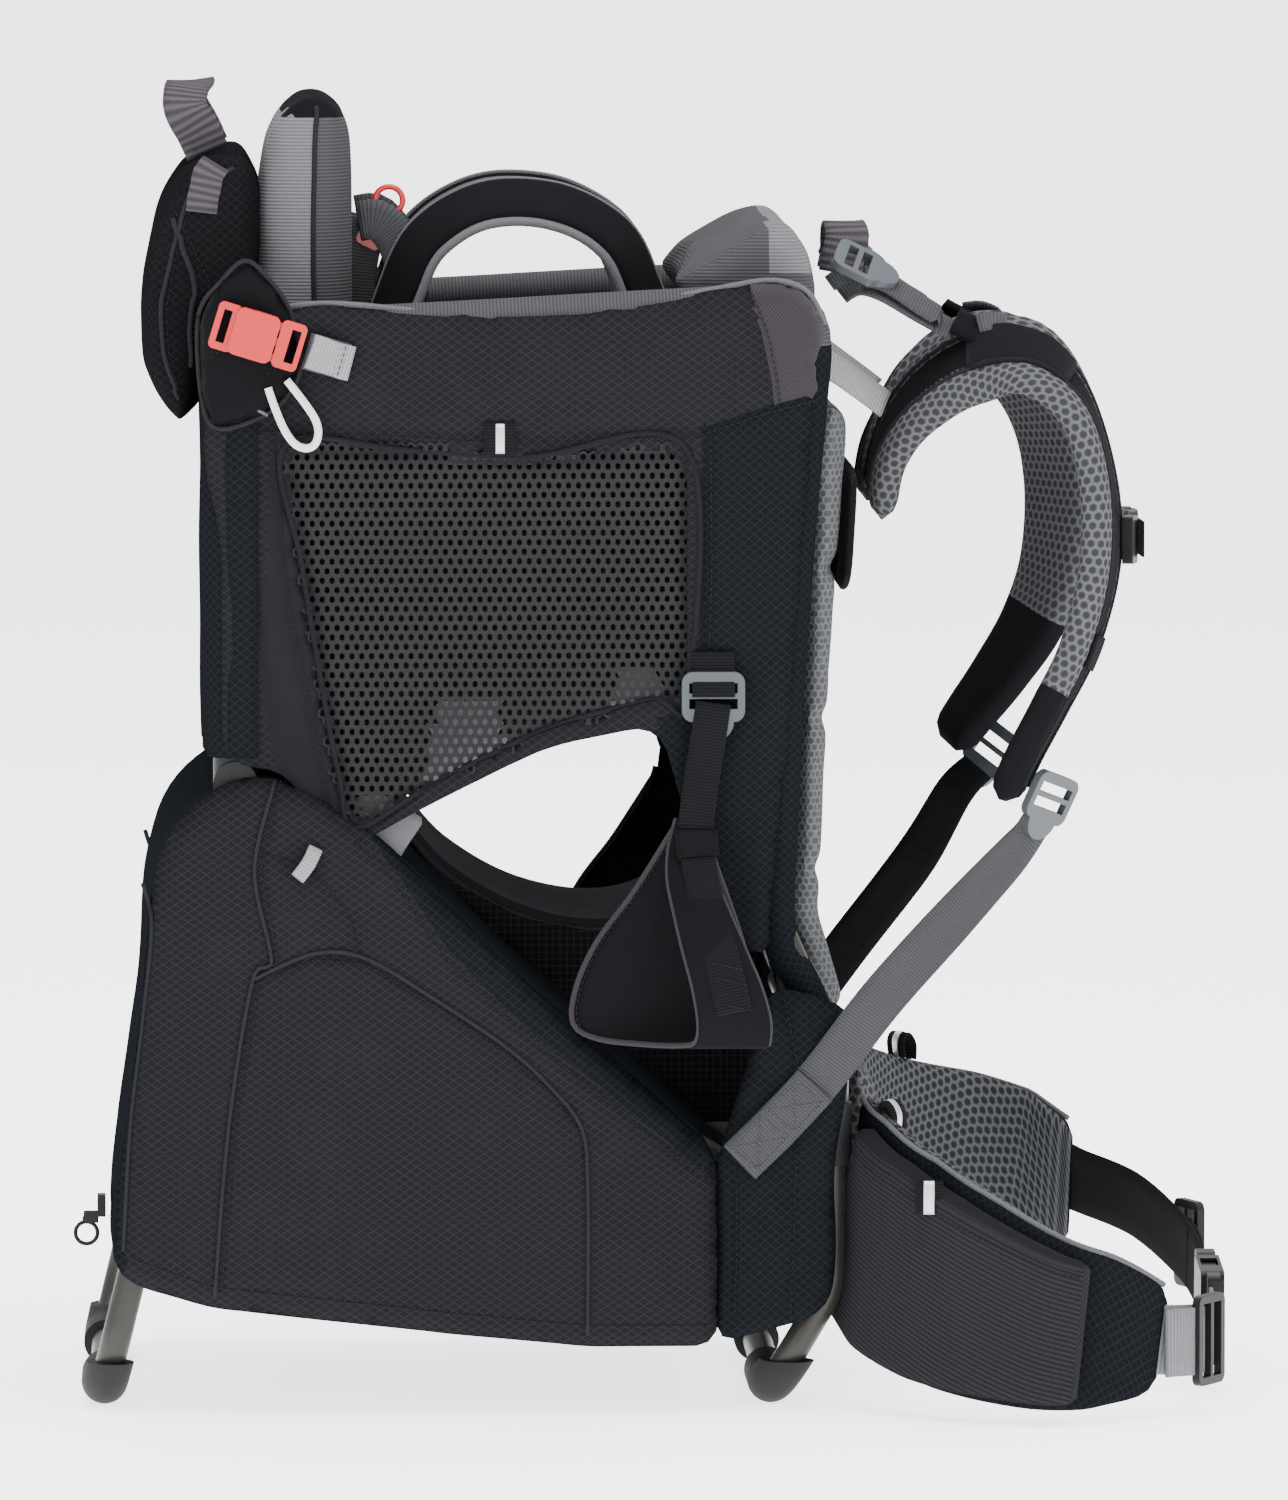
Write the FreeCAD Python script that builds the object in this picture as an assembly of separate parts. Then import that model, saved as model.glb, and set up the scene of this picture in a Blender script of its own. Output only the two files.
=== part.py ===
"""Baby carrier backpack: a framed child carrier that stands on a front foot and a folding rear kickstand.

Millimetres. +X points to the wearer's front, +Y to the wearer's left, +Z up. The origin is on the ground,
under the middle of the whole carrier. Names ending in _left are at +Y and names ending in _right at -Y.
"""

import FreeCAD, Part

import math
import os

Vector = FreeCAD.Vector

# ---- driving dimensions -------------------------------------------------------------------------
TUBE_R = 8.0                 # frame and kickstand tubes
STRUT_R = 7.0                # seat struts and cross bars
TRACK = 130.0                # half the distance between the two side tubes
FOOT_Z = 12.0                # centre of the foot tubes above the ground
PAD_R = 12.5                 # rubber foot pads, cut flat at the ground
BEND = 36.0                  # bend radius of the frame tubes

FRONT_FOOT_X = 64.0
FRONT_KNEE = (96.0, 66.0)    # X, Z where the front foot tube turns upright
UPRIGHT_BASE = (97.0, 150.0)
UPRIGHT_BEND = (97.5, 192.0)
UPRIGHT_WAIST = (66.0, 265.0)
UPRIGHT_BACK = (72.0, 400.0)
UPRIGHT_NECK = (85.0, 560.0)
RAIL_FRONT = (64.0, 594.0)
RAIL_REAR = (-206.0, 580.0)
HUB_X, HUB_Z = -226.0, 305.0  # kickstand pivot
KICK_FOOT_X = -298.0
SOCKET_GAP = 31.0            # pivot to the lower end of the rear upright

CLOTH = 3.0                  # thickness of the sewn panels
BAG_Y = 156.0                # inner face of the lower compartment's sides
COCKPIT_Y = 145.0            # inner face of the cockpit's sides
FLAP_Y = 149.5
WEB = 25.0                   # webbing width
WEB_T = 1.8
BELT_WEB = 38.0
RUN_GAP = 0.06               # radial running clearance of the pivot pins
PULL_CORD_R = 2.2
CORD_REACH = 0.45            # share of a straight run that a cord's bend may take


# ---- shape helpers --------------------------------------------------------------------------------
def rounded_edges(points, radius, closed=False):
    """Straight edges through the points, joined by tangent arcs. radius is one number, or one for each point."""
    n = len(points)
    radii = radius if isinstance(radius, (list, tuple)) else [radius] * n
    corners = []
    for i, p in enumerate(points):
        if not closed and i in (0, n - 1):
            corners.append((p, p, None))
            continue
        before, after = points[i - 1] - p, points[(i + 1) % n] - p
        a, b = Vector(before).normalize(), Vector(after).normalize()
        half = math.acos(max(-1.0, min(1.0, a.dot(b)))) / 2
        if radii[i] <= 0 or half > math.radians(89.5):
            corners.append((p, p, None))
            continue
        reach = min(radii[i] / math.tan(half), 0.45 * before.Length, 0.45 * after.Length)
        r = reach * math.tan(half)
        middle = p + (a + b).normalize() * (r / math.sin(half) - r)
        corners.append((p + a * reach, p + b * reach, middle))
    edges = []
    for i, (start, end, middle) in enumerate(corners):
        if middle is not None:
            edges.append(Part.Arc(start, middle, end).toShape())
        if i + 1 < n or closed:
            target = corners[(i + 1) % n][0]
            if (target - end).Length > 1e-6:
                edges.append(Part.LineSegment(end, target).toShape())
    return edges


def at_y(outline, y):
    return [Vector(x, y, z) for x, z in outline]


def tube(points, radius, bend=BEND):
    """A round bar along a path of straight runs and tangent arcs."""
    path = Part.Wire(Part.__sortEdges__(rounded_edges(points, bend)))
    ring = Part.Wire(Part.makeCircle(radius, points[0], points[1] - points[0]))
    return Part.Wire(path).makePipeShell([ring], True, False)


def panel(outline, y0, y1, radius=6.0):
    """A flat sheet: an outline of (X, Z) corners, rounded, spanning y0 to y1."""
    wire = Part.Wire(Part.__sortEdges__(rounded_edges(at_y(outline, y0), radius, closed=True)))
    return Part.Face(wire).extrude(Vector(0, y1 - y0, 0))


def sided(side, y0, y1):
    """y0..y1 as distances from the middle plane, on the left (+1) or the right (-1)."""
    return (y0, y1) if side > 0 else (-y1, -y0)


def section(centre, across, width, through, thick):
    """A rectangle of width along across and thick along through, for lofts."""
    w = Vector(*across).normalize() * (width / 2)
    t = Vector(*through)
    t = (t - w * (t.dot(w) / w.dot(w))).normalize() * (thick / 2)
    c = Vector(*centre)
    return Part.makePolygon([c - w - t, c + w - t, c + w + t, c - w + t, c - w - t])


def loft(sections, ruled=False):
    return Part.makeLoft(sections, True, ruled)


def ribbon(outline, y0, y1, thick, radius=8.0):
    """A band that follows a path of (X, Z) points and spans y0 to y1."""
    points = at_y(outline, (y0 + y1) / 2)
    path = Part.Wire(Part.__sortEdges__(rounded_edges(points, radius)))
    along = Vector(points[1] - points[0]).normalize()
    normal = along.cross(Vector(0, 1, 0))
    return path.makePipeShell([section(points[0], (0, 1, 0), y1 - y0, normal, thick)], True, False)


def block(x, y, z):
    """A box from pairs of limits."""
    return Part.makeBox(x[1] - x[0], y[1] - y[0], z[1] - z[0], Vector(x[0], y[0], z[0]))


def rod(centre, axis, radius, length):
    """A cylinder centred on a point."""
    direction = Vector(*axis).normalize()
    return Part.makeCylinder(radius, length, Vector(*centre) - direction * (length / 2), direction)


def rounded_box(size, radius):
    """A box centred on the origin with its long edges rounded along local Z."""
    x, y, z = size
    box = Part.makeBox(x, y, z, Vector(-x / 2, -y / 2, -z / 2))
    upright = [e for e in box.Edges if abs(e.Length - z) < 1e-6 and abs(e.tangentAt(0).z) > 0.9]
    return box.makeFillet(radius, upright)


def placed(shape, origin, local_x, local_z):
    """Moves a shape from its local frame to an origin, with its local X and Z along the given directions."""
    x = Vector(*local_x).normalize()
    z = Vector(*local_z)
    z = (z - x * z.dot(x)).normalize()
    y = z.cross(x)
    o = Vector(*origin)
    matrix = FreeCAD.Matrix(x.x, y.x, z.x, o.x, x.y, y.y, z.y, o.y, x.z, y.z, z.z, o.z, 0, 0, 0, 1)
    moved = shape.copy()
    moved.Placement = FreeCAD.Placement(matrix)
    return moved


def group(shapes):
    return Part.makeCompound(shapes)


def both(make):
    """The left and the right copy of a piece, made by a function of the side."""
    return group([make(1), make(-1)])


CROSS_BARS = [(80.0, 206.0), (82.0, 540.0), (HUB_X, 536.0)]   # X, Z of the bars between the sides


# ---- frame ----------------------------------------------------------------------------------------
def front_foot_path():
    return [
        Vector(UPRIGHT_BASE[0], -TRACK, UPRIGHT_BASE[1]),
        Vector(FRONT_KNEE[0], -TRACK, FRONT_KNEE[1]),
        Vector(FRONT_FOOT_X, -TRACK, FOOT_Z),
        Vector(FRONT_FOOT_X, TRACK, FOOT_Z),
        Vector(FRONT_KNEE[0], TRACK, FRONT_KNEE[1]),
        Vector(UPRIGHT_BASE[0], TRACK, UPRIGHT_BASE[1]),
    ]


def frame_side(side):
    """One bent tube: front upright, side rail and rear upright."""
    outline = [UPRIGHT_BASE, UPRIGHT_BEND, UPRIGHT_WAIST, UPRIGHT_BACK, UPRIGHT_NECK, RAIL_FRONT, RAIL_REAR]
    outline += [(HUB_X, RAIL_REAR[1] - 32), (HUB_X, HUB_Z + SOCKET_GAP)]
    return tube(at_y(outline, side * TRACK), TUBE_R)


def cross_bars(sides):
    bars = [rod((x, 0, z), (0, 1, 0), STRUT_R, 2 * TRACK) for x, z in CROSS_BARS]
    return [bar.cut(group(sides)) for bar in bars]


STRUT_FOOT = Vector(97.0, 0, 95.0)
PIVOT = Vector(HUB_X, 0, HUB_Z)
STRUT_WAY = Vector(STRUT_FOOT - PIVOT).normalize()
STRUT_SOCKET = (48.0, 70.0)   # distance from the pivot to the two ends of the strut's socket


def on_side(point, side, out=0.0):
    return Vector(point.x, side * (TRACK + out), point.z)


def seat_strut(side, front_foot):
    start = on_side(PIVOT + STRUT_WAY * STRUT_SOCKET[0], side)
    bar = Part.makeCylinder(STRUT_R, (on_side(STRUT_FOOT, side) - start).Length, start, STRUT_WAY)
    return bar.cut(front_foot)


def capsule_plate(a, b, radius, y0, y1):
    """A plate with round ends from a to b."""
    way = Vector(b - a).normalize()
    normal = way.cross(Vector(0, 1, 0)) * radius
    corners = [a - normal, b - normal, b + normal, a + normal]
    bar = Part.Face(Part.makePolygon([Vector(c.x, y0, c.z) for c in corners + corners[:1]]))
    shape = bar.extrude(Vector(0, y1 - y0, 0))
    for end in (a, b):
        shape = shape.fuse(Part.makeCylinder(radius, y1 - y0, Vector(end.x, y0, end.z), Vector(0, 1, 0)))
    return shape.removeSplitter()


CHEEK = (8.5, 13.5)          # distance from the tube plane to the hub's cheek faces
BUTTON_Z = HUB_Z + 21.0
BUTTON_R = 4.0


def pivot_hub(side):
    """Moulded bracket that takes the rear upright, the seat strut and the kickstand's pin."""
    top = Vector(HUB_X, 0, HUB_Z + SOCKET_GAP + 6)
    strut = PIVOT + STRUT_WAY * (sum(STRUT_SOCKET) / 2)
    hub = Part.makeCylinder(12, 22, Vector(HUB_X, side * TRACK, HUB_Z + SOCKET_GAP), Vector(0, 0, 1))
    start = on_side(PIVOT + STRUT_WAY * STRUT_SOCKET[0], side)
    hub = hub.fuse(Part.makeCylinder(11, STRUT_SOCKET[1] - STRUT_SOCKET[0], start, STRUT_WAY))
    for low, high in (CHEEK, (-CHEEK[1], -CHEEK[0])):
        y0, y1 = side * TRACK + low, side * TRACK + high
        hub = hub.fuse(capsule_plate(PIVOT, top, 12, y0, y1)).fuse(capsule_plate(PIVOT, strut, 11, y0, y1))
    bores = [
        Part.makeCylinder(TUBE_R, 30, Vector(HUB_X, side * TRACK, HUB_Z + SOCKET_GAP), Vector(0, 0, 1)),
        Part.makeCylinder(STRUT_R, 40, start, STRUT_WAY),
        rod((HUB_X, side * TRACK, HUB_Z), (0, 1, 0), PIN_R, 40),
        rod((HUB_X, side * (TRACK + 11), BUTTON_Z), (0, 1, 0), BUTTON_R + RUN_GAP, 12),
    ]
    return hub.cut(group(bores)).removeSplitter()


PIN_R = 4.0


def pivot_pin(side):
    stem = rod((HUB_X, side * TRACK, HUB_Z), (0, 1, 0), PIN_R, 28)
    heads = [rod((HUB_X, side * TRACK + end * 15, HUB_Z), (0, 1, 0), 7, 2) for end in (-1, 1)]
    return stem.fuse(heads).removeSplitter()


def lock_button(side):
    """Spring button in the hub's outer cheek that frees the kickstand."""
    stem = rod((HUB_X, side * (TRACK + 9.5), BUTTON_Z), (0, 1, 0), BUTTON_R, 17)
    head = rod((HUB_X, side * (TRACK + 19), BUTTON_Z), (0, 1, 0), 6.5, 2.4)
    return stem.fuse(head).removeSplitter()


def lock_spring(side):
    """Ribbed rubber spring between the button's inner end and the inner cheek."""
    outer, bore, length, rib = 3.0, 1.7, 7.6, 1.0
    base = side * (TRACK - CHEEK[0] + 0.6)
    start = Vector(HUB_X, base, BUTTON_Z)
    way = Vector(0, side, 0)
    sleeve = Part.makeCylinder(outer - 0.7, length, start, way)
    ribs = [Part.makeCylinder(outer, rib, start + way * (length - rib) * k / 3, way) for k in range(4)]
    return sleeve.fuse(ribs).cut(Part.makeCylinder(bore, length, start, way))


def tube_sleeve(side):
    """Plastic sleeve over the joint of the front foot tube and the side tube."""
    return rod((UPRIGHT_BASE[0], side * TRACK, UPRIGHT_BASE[1]), (0, 0, 1), TUBE_R + 2, 34)


def foot_pads(path, x):
    """Rubber pads that clip round the corners of a foot tube, with flats on the ground."""
    bar = tube(path, TUBE_R)
    fat = tube(path, PAD_R)
    ground = Part.makeBox(900, 900, 50, Vector(-450, -450, -50))
    shapes = []
    for side in (1, -1):
        y0, y1 = sided(side, 62, TRACK + 20)
        window = block((x - 60, x + 60), (y0, y1), (-20, 26))
        pad = fat.common(window).cut(bar).cut(ground)
        shapes.append(max(pad.Solids, key=lambda s: s.Volume))
    return group(shapes)


def kickstand_path():
    return [
        Vector(HUB_X, -TRACK, HUB_Z),
        Vector(KICK_FOOT_X, -TRACK, FOOT_Z),
        Vector(KICK_FOOT_X, TRACK, FOOT_Z),
        Vector(HUB_X, TRACK, HUB_Z),
    ]


def kickstand_tube():
    shape = tube(kickstand_path(), TUBE_R)
    for side in (1, -1):
        eye = rod((HUB_X, side * TRACK, HUB_Z), (0, 1, 0), 11, 16)
        shape = shape.fuse(eye)
        shape = shape.cut(rod((HUB_X, side * TRACK, HUB_Z), (0, 1, 0), PIN_R + RUN_GAP, 30))
    return shape.removeSplitter()


# ---- sewn shell -----------------------------------------------------------------------------------
BAG_DIAGONAL = [(-149, 317), (-80, 245), (34, 142)]   # upper front edge of the lower compartment
BAG_SIDE = [(-292, 80), (-284, 168), (-277, 223), (-272, 285), (-263, 318), (-234, 345), (-210, 349)]
BAG_SIDE += [(-185, 339), *BAG_DIAGONAL, (34, 36), (-36, 36), (-108, 43), (-190, 52), (-240, 58), (-278, 72)]
BAG_FLOOR = [(-264, 70), (-190, 55), (-108, 46), (-36, 39), (36, 38), (37, 138)]
BAG_REAR = [(-295, 84), (-294, 155), (-290, 215), (-281, 262), (-272, 284)]
FLAP = [(38, 140), (63, 231), (110, 218), (102, 173), (95, 132), (98, 91), (96, 63), (85, 51), (54, 44),
        (38, 38)]
COCKPIT_SIDE = [(-240, 560), (-223, 591), (-179, 600), (-100, 594), (-25, 597), (30, 607), (63, 612), (86, 602)]
COCKPIT_SIDE += [(93, 585), (86, 525), (79, 431), (74, 360), (67, 299), (62, 244), (38, 261), (24, 299)]
COCKPIT_SIDE += [(2, 374), (-58, 362), (-119, 332), (-166, 307), (-185, 318), (-196, 349), (-233, 353)]
COCKPIT_SIDE += [(-233, 475), (-243, 515)]
SADDLE = [(-178, 340), (-140, 318), (-112, 290), (-72, 268), (-30, 260), (6, 270), (34, 300), (48, 334)]
POCKET = [(-216, 682), (-248, 677), (-267, 650), (-276, 600), (-275, 562), (-263, 538), (-245, 520)]
POCKET += [(-245, 606), (-216, 606)]
HEADREST = [(-212, 562), (-210, 650), (-204, 690), (-190, 713), (-174, 716), (-163, 706), (-162, 562)]
DROOL = [(2, 611), (34, 630), (68, 651), (79, 645), (84, 628), (94, 606), (92, 588), (66, 578), (30, 592)]
LOOP_T = 2.2                 # thickness of the grab loops' webbing
REAR_HANDLE_X = -248.0
FRONT_HANDLE = [(97, 622), (105, 637), (120, 632), (121, 617), (98, 610)]
REAR_HANDLE = [(-46, 684), (-40, 702), (-18, 714), (18, 714), (40, 702), (46, 684)]   # Y, Z
REAR_TAB = [(-246, 596), (-222, 626), (-196, 600), (-190, 566), (-208, 542), (-244, 548)]


def bag_top(side):
    """Sloping cloth from the compartment's upper edge in to the seat, and the wall up to the saddle."""
    y0, y1 = sided(side, 80, 154)
    slope = ribbon([(-143, 308), (-80, 242), (2, 167)], y0, y1, CLOTH, 30)
    w0, w1 = sided(side, 75, 75 + CLOTH)
    top = [(-133, 302), (-108, 279), (-70, 259), (-30, 252), (4, 261), (28, 290)]
    wall = panel([*top, (22, 160), (-78, 248)], w0, w1, 3)
    return group([slope, wall])


def rear_wall():
    return panel([(-239.5, 361), (-239.5, 604), (-236.5, 604), (-236.5, 361)], -138, 138, 0)


def rear_tab(side):
    """Cloth tab round the corner of the cockpit that carries the side buckle."""
    return panel(REAR_TAB, *sided(side, COCKPIT_Y + CLOTH + 0.5, COCKPIT_Y + CLOTH + 3))


def saddle():
    """Seat sling between the rear wall and the front wall, narrow enough to straddle."""
    return ribbon(SADDLE, -74, 74, 9, 40)


def headrest():
    pad = panel(HEADREST, -84, 84, 12)
    hollow = Part.makeCylinder(62, 200, Vector(-121, 0, 540), Vector(0, 0, 1))
    return pad.cut(hollow)


HALO = [(-150, 540), (-146, 572), (-137, 602), (-122, 632), (-90, 651), (-50, 650), (-18, 632), (-3, 602),
        (9, 566)]
HALO_Y, HALO_W, HALO_T = 60.0, 32.0, 8.0
HALO_TILT = 32.0             # the arch's faces lean out by this many degrees


def halo(side):
    """Padded arch of the child's harness."""
    path = [Vector(x, side * HALO_Y, z) for x, z in HALO]
    tilt = math.radians(HALO_TILT)
    wires = []
    for i, p in enumerate(path):
        along = Vector(path[min(i + 1, len(path) - 1)] - path[max(i - 1, 0)]).normalize()
        up = along.cross(Vector(0, -1, 0))
        across = Vector(0, math.cos(tilt), 0) + up * (side * math.sin(tilt))
        wires.append(section(p, across, HALO_W, along.cross(across), HALO_T))
    return loft(wires)


def harness_web(side):
    """Short webbing from the back wall over to the arch, with a hanging tail."""
    y0, y1 = sided(side, 12, 32)
    return ribbon([(-160, 590), (-158, 628), (-146, 638), (-132, 622), (-128, 585)], y0, y1, 2.4, 8)


def harness_clip():
    """Hook and ring that joins the harness webbing above the headrest's foot."""
    body = rounded_box((22, 14, 5), 3)
    ring = Part.makeTorus(7.5, 1.6, Vector(17, 0, 0), Vector(0, 0, 1))
    return placed(body.fuse(ring).removeSplitter(), (-149, -37, 636), (0.45, 0, 0.89), (0, -1, 0))


def front_handle():
    """Loop of webbing at the top of the back."""
    return ribbon(FRONT_HANDLE, -WEB / 2, WEB / 2, LOOP_T, 6)


def rear_handle():
    """Loop of webbing that stands across the top of the sunshade pocket."""
    points = [Vector(REAR_HANDLE_X, y, z) for y, z in REAR_HANDLE]
    path = Part.Wire(Part.__sortEdges__(rounded_edges(points, 14)))
    return path.makePipeShell([section(points[0], (1, 0, 0), WEB, (0, 1, 0), LOOP_T)], True, False)


# ---- webbing, straps and belt ------------------------------------------------------------------------
# Middle line of each shoulder strap, from the yoke over the shoulder and down the chest.
STRAP_PATHS = {
    -1: [(126, -48, 484), (131, -54, 515), (147, -62, 543), (174, -71, 563), (204, -80, 566), (229, -86, 542),
         (242, -90, 500), (243, -93, 455), (232, -96, 412), (216, -99, 380), (201, -101, 352), (190, -102, 328)],
    1: [(126, 48, 484), (132, 54, 516), (148, 62, 544), (173, 71, 562), (200, 79, 562), (222, 84, 532),
        (233, 88, 492), (231, 89, 446), (219, 91, 411), (201, 93, 382), (185, 95, 360), (172, 96, 342)],
}
STRAP_WIDTHS = [68, 66, 64, 64, 64, 62, 60, 58, 56, 52, 44, 32]
# At those points, in degrees: how far each strap's outer face turns about Z towards the middle plane,
# and how far it rolls outwards over the shoulder.
STRAP_TURNS = {
    -1: [0, 0, 0, 0, 0, 5, 11, 14, 14, 14, 14, 14],
    1: [0, 4, 8, 12, 18, 24, 30, 30, 30, 30, 30, 30],
}
STRAP_ROLLS = [4, 16, 32, 36, 30, 14, 0, 0, 0, 0, 0, 0]
STRAP_T = 17.0


def strap_across(side, i, along):
    turn, roll = math.radians(STRAP_TURNS[side][i]), math.radians(STRAP_ROLLS[i])
    across = Vector(-side * math.sin(turn), math.cos(turn), -side * math.tan(roll))
    return Vector(across - along * across.dot(along)).normalize()


def shoulder_strap(side):
    path = [Vector(*p) for p in STRAP_PATHS[side]]
    wires = []
    for i, p in enumerate(path):
        along = Vector(path[min(i + 1, len(path) - 1)] - path[max(i - 1, 0)]).normalize()
        across = strap_across(side, i, along)
        wires.append(section(p, across, STRAP_WIDTHS[i], along.cross(across), STRAP_T))
    return loft(wires)


def strap_tip(side):
    """Lower end of a shoulder strap, the way it points, and the normal of its front face."""
    tip, before = (Vector(*p) for p in (STRAP_PATHS[side][-1], STRAP_PATHS[side][-2]))
    along = Vector(tip.x - before.x, 0, tip.z - before.z).normalize()
    return tip, along, Vector(-along.z, 0, along.x)


def strap_webbing(side):
    """Lower webbing from the strap's tip back to the flap, with its sewn tail."""
    tip, along, front = strap_tip(side)
    start = tip + along * 19 + front * 19
    outer = FLAP_Y + CLOTH + 1.4
    corner = Vector(122, side * (outer + 1.5), 226)
    middle = (start + corner) * 0.5
    way = Vector(corner.x - 85, 0, corner.z - 178).normalize()
    flat = (way.z, 0, -way.x)
    stations = [
        (start, (0, 1, 0), (front.x, 0, front.z)),
        (middle, (flat[0] * 0.7, side * 0.7, flat[2] * 0.7), (flat[0], -side, flat[2])),
        (corner, flat, (0, side, 0)),
        ((85, side * outer, 178), flat, (0, side, 0)),
        ((46, side * outer, 138), flat, (0, side, 0)),
    ]
    wires = [section(c, a, WEB, t, WEB_T) for c, a, t in stations]
    return loft(wires, ruled=True)


LIFTER_Y = 66.0


def load_lifter(side):
    y0, y1 = sided(side, LIFTER_Y - 10, LIFTER_Y + 10)
    return ribbon([(108, 597), (122, 604), (140, 594), (164, 582)], y0, y1, WEB_T, 10)


def ladder_lock(width=WEB):
    """Webbing adjuster: a frame with a bar and a lift tab. Local X runs along the webbing."""
    body = rounded_box((27, width + 9, 4.5), 6)
    tab = Part.makeCylinder(11, 4.5, Vector(13, 0, -2.25), Vector(0, 0, 1))
    body = body.fuse(tab)
    for x in (-7.5, 1.0):
        body = body.cut(block((x, x + 5.5), (-width / 2 - 0.5, width / 2 + 0.5), (-5, 5)))
    return body.removeSplitter()


def strap_lock(side):
    """Lock in front of the strap's end, turned half way to the carrier's side."""
    tip, along, front = strap_tip(side)
    face = front * 0.7 + Vector(0, side * 0.7, 0)
    return placed(ladder_lock(), tip - along * 12 + front * (STRAP_T / 2 + 14.5), along, face)


def tri_glide(side):
    """Three-bar slider on the doubled hip webbing."""
    body = rounded_box((30, BELT_WEB + 11, 4.5), 5)
    for x in (-10.5, 1.5):
        body = body.cut(block((x, x + 9), (-BELT_WEB / 2 - 1, BELT_WEB / 2 + 1), (-5, 5)))
    x, y, z, nx = BELT_RUNS[side][1 if side < 0 else 2]
    normal = Vector(nx, side * math.sqrt(1 - nx * nx), 0)
    return placed(body, Vector(x, y, z) + normal * 6, (normal.y, -normal.x, 0), normal)


def adjusters():
    """Ladder locks of the load lifters and the stirrups."""
    shapes = []
    for side in (1, -1):
        lifter_lock = placed(ladder_lock(20), (113, side * LIFTER_Y, 618), (0.9, 0, -0.45), (0.4, side * 0.5, 0.8))
        shapes.append(lifter_lock)
        shapes.append(placed(ladder_lock(), (STIRRUP_X, side * 153, STIRRUP_Z), (0, 0, -1), (0, side, 0)))
    return group(shapes)


STIRRUP_X, STIRRUP_Z = 31.0, 389.0
LOOP_Y = (163.0, 207.0)
LOOP_X = (-30.0, 58.0)


def cross_panel(outline, x0, x1, radius):
    """An outline of (Y, Z) corners, rounded, spanning x0 to x1."""
    edges = rounded_edges([Vector(x0, y, z) for y, z in outline], radius, closed=True)
    return Part.Face(Part.Wire(Part.__sortEdges__(edges))).extrude(Vector(x1 - x0, 0, 0))


def stirrup(side):
    """Hanging strap and the cloth sling that holds the child's foot."""
    low = Vector(STIRRUP_X - 3, side * 159, 308)
    strap = loft([
        section((STIRRUP_X, side * 158, STIRRUP_Z - 18), (1, 0, 0), WEB, (0, 1, 0), WEB_T),
        section((low.x, low.y, low.z), (1, 0, 0), WEB, (0, 1, 0), WEB_T),
    ])
    inner_y, outer_y = LOOP_Y
    outer = [(157.5, 322), (outer_y, 264), (outer_y, 208), (inner_y, 203), (inner_y, 262), (157.5, 300)]
    inner = [(163.5, 298), (outer_y - CLOTH, 262), (outer_y - CLOTH, 212), (inner_y + CLOTH, 207)]
    inner += [(inner_y + CLOTH, 264)]
    hoop = cross_panel([(side * y, z) for y, z in outer], *LOOP_X, 6)
    hole = cross_panel([(side * y, z) for y, z in inner], LOOP_X[0] - 5, LOOP_X[1] + 5, 5)
    return strap.fuse(hoop.cut(hole)).removeSplitter()


# Hip belt stations: X, distance from the middle, Z of the lower edge, Z of the upper edge.
WINGS = {
    -1: [(116, 85, 62, 176), (119, 112, 46, 166), (135, 146, 26, 148), (165, 175, 12, 126), (205, 190, 5, 104),
         (245, 188, 5, 90), (272, 174, 14, 70)],
    1: [(116, 85, 62, 180), (118, 112, 56, 174), (131, 144, 48, 164), (155, 174, 42, 154), (190, 190, 38, 146),
        (222, 186, 38, 136), (246, 168, 50, 120)],
}
WING_T = 14.0
POCKET_T = 16.0


def wing_normal(side, i):
    """Horizontal direction away from the wearer at one station of a wing."""
    stations = WINGS[side]
    a, b = stations[max(i - 1, 0)], stations[min(i + 1, len(stations) - 1)]
    along = Vector(b[0] - a[0], side * (b[1] - a[1]), 0).normalize()
    return Vector(-along.y, along.x, 0) * side


def hip_wing(side):
    wires = []
    for i, (x, y, z0, z1) in enumerate(WINGS[side]):
        wires.append(section((x, side * y, (z0 + z1) / 2), (0, 0, 1), z1 - z0, wing_normal(side, i), WING_T))
    return loft(wires, ruled=True)


def hip_pocket(side):
    wires = []
    for i in range(2, 6):
        x, y, z0, z1 = WINGS[side][i]
        n = wing_normal(side, i)
        c = Vector(x, side * y, 0) + n * ((WING_T + POCKET_T) / 2 + 0.4)
        wires.append(section((c.x, c.y, (z0 + z1) / 2 - 1), (0, 0, 1), z1 - z0 - 8, n, POCKET_T))
    return loft(wires, ruled=True)


BUCKLE = Vector(307.4, -30.0, 46.0)        # mouth of the hip buckle
BELT_RUNS = {
    -1: [(277, -173, 42, 0.6), (294, -152, 40, 0.85), (304, -122, 40, 0.98), (305.4, -92, 41, 1.0)],
    1: [(307, -12, 48, 1.0), (307.4, 35, 53, 1.0), (301.3, 80, 62, 0.93), (280, 130, 78, 0.75),
        (254, 164, 86, 0.6)],
}


def belt_run(side):
    """Hip webbing from a wing's tip to the buckle; the last number of a station is the X part of its normal."""
    wires = []
    for x, y, z, nx in BELT_RUNS[side]:
        normal = (nx, side * math.sqrt(1 - nx * nx), 0)
        wires.append(section((x, y, z), (0, -0.15 if side > 0 else 0, 1), BELT_WEB, normal, 2.4))
    return loft(wires)


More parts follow.
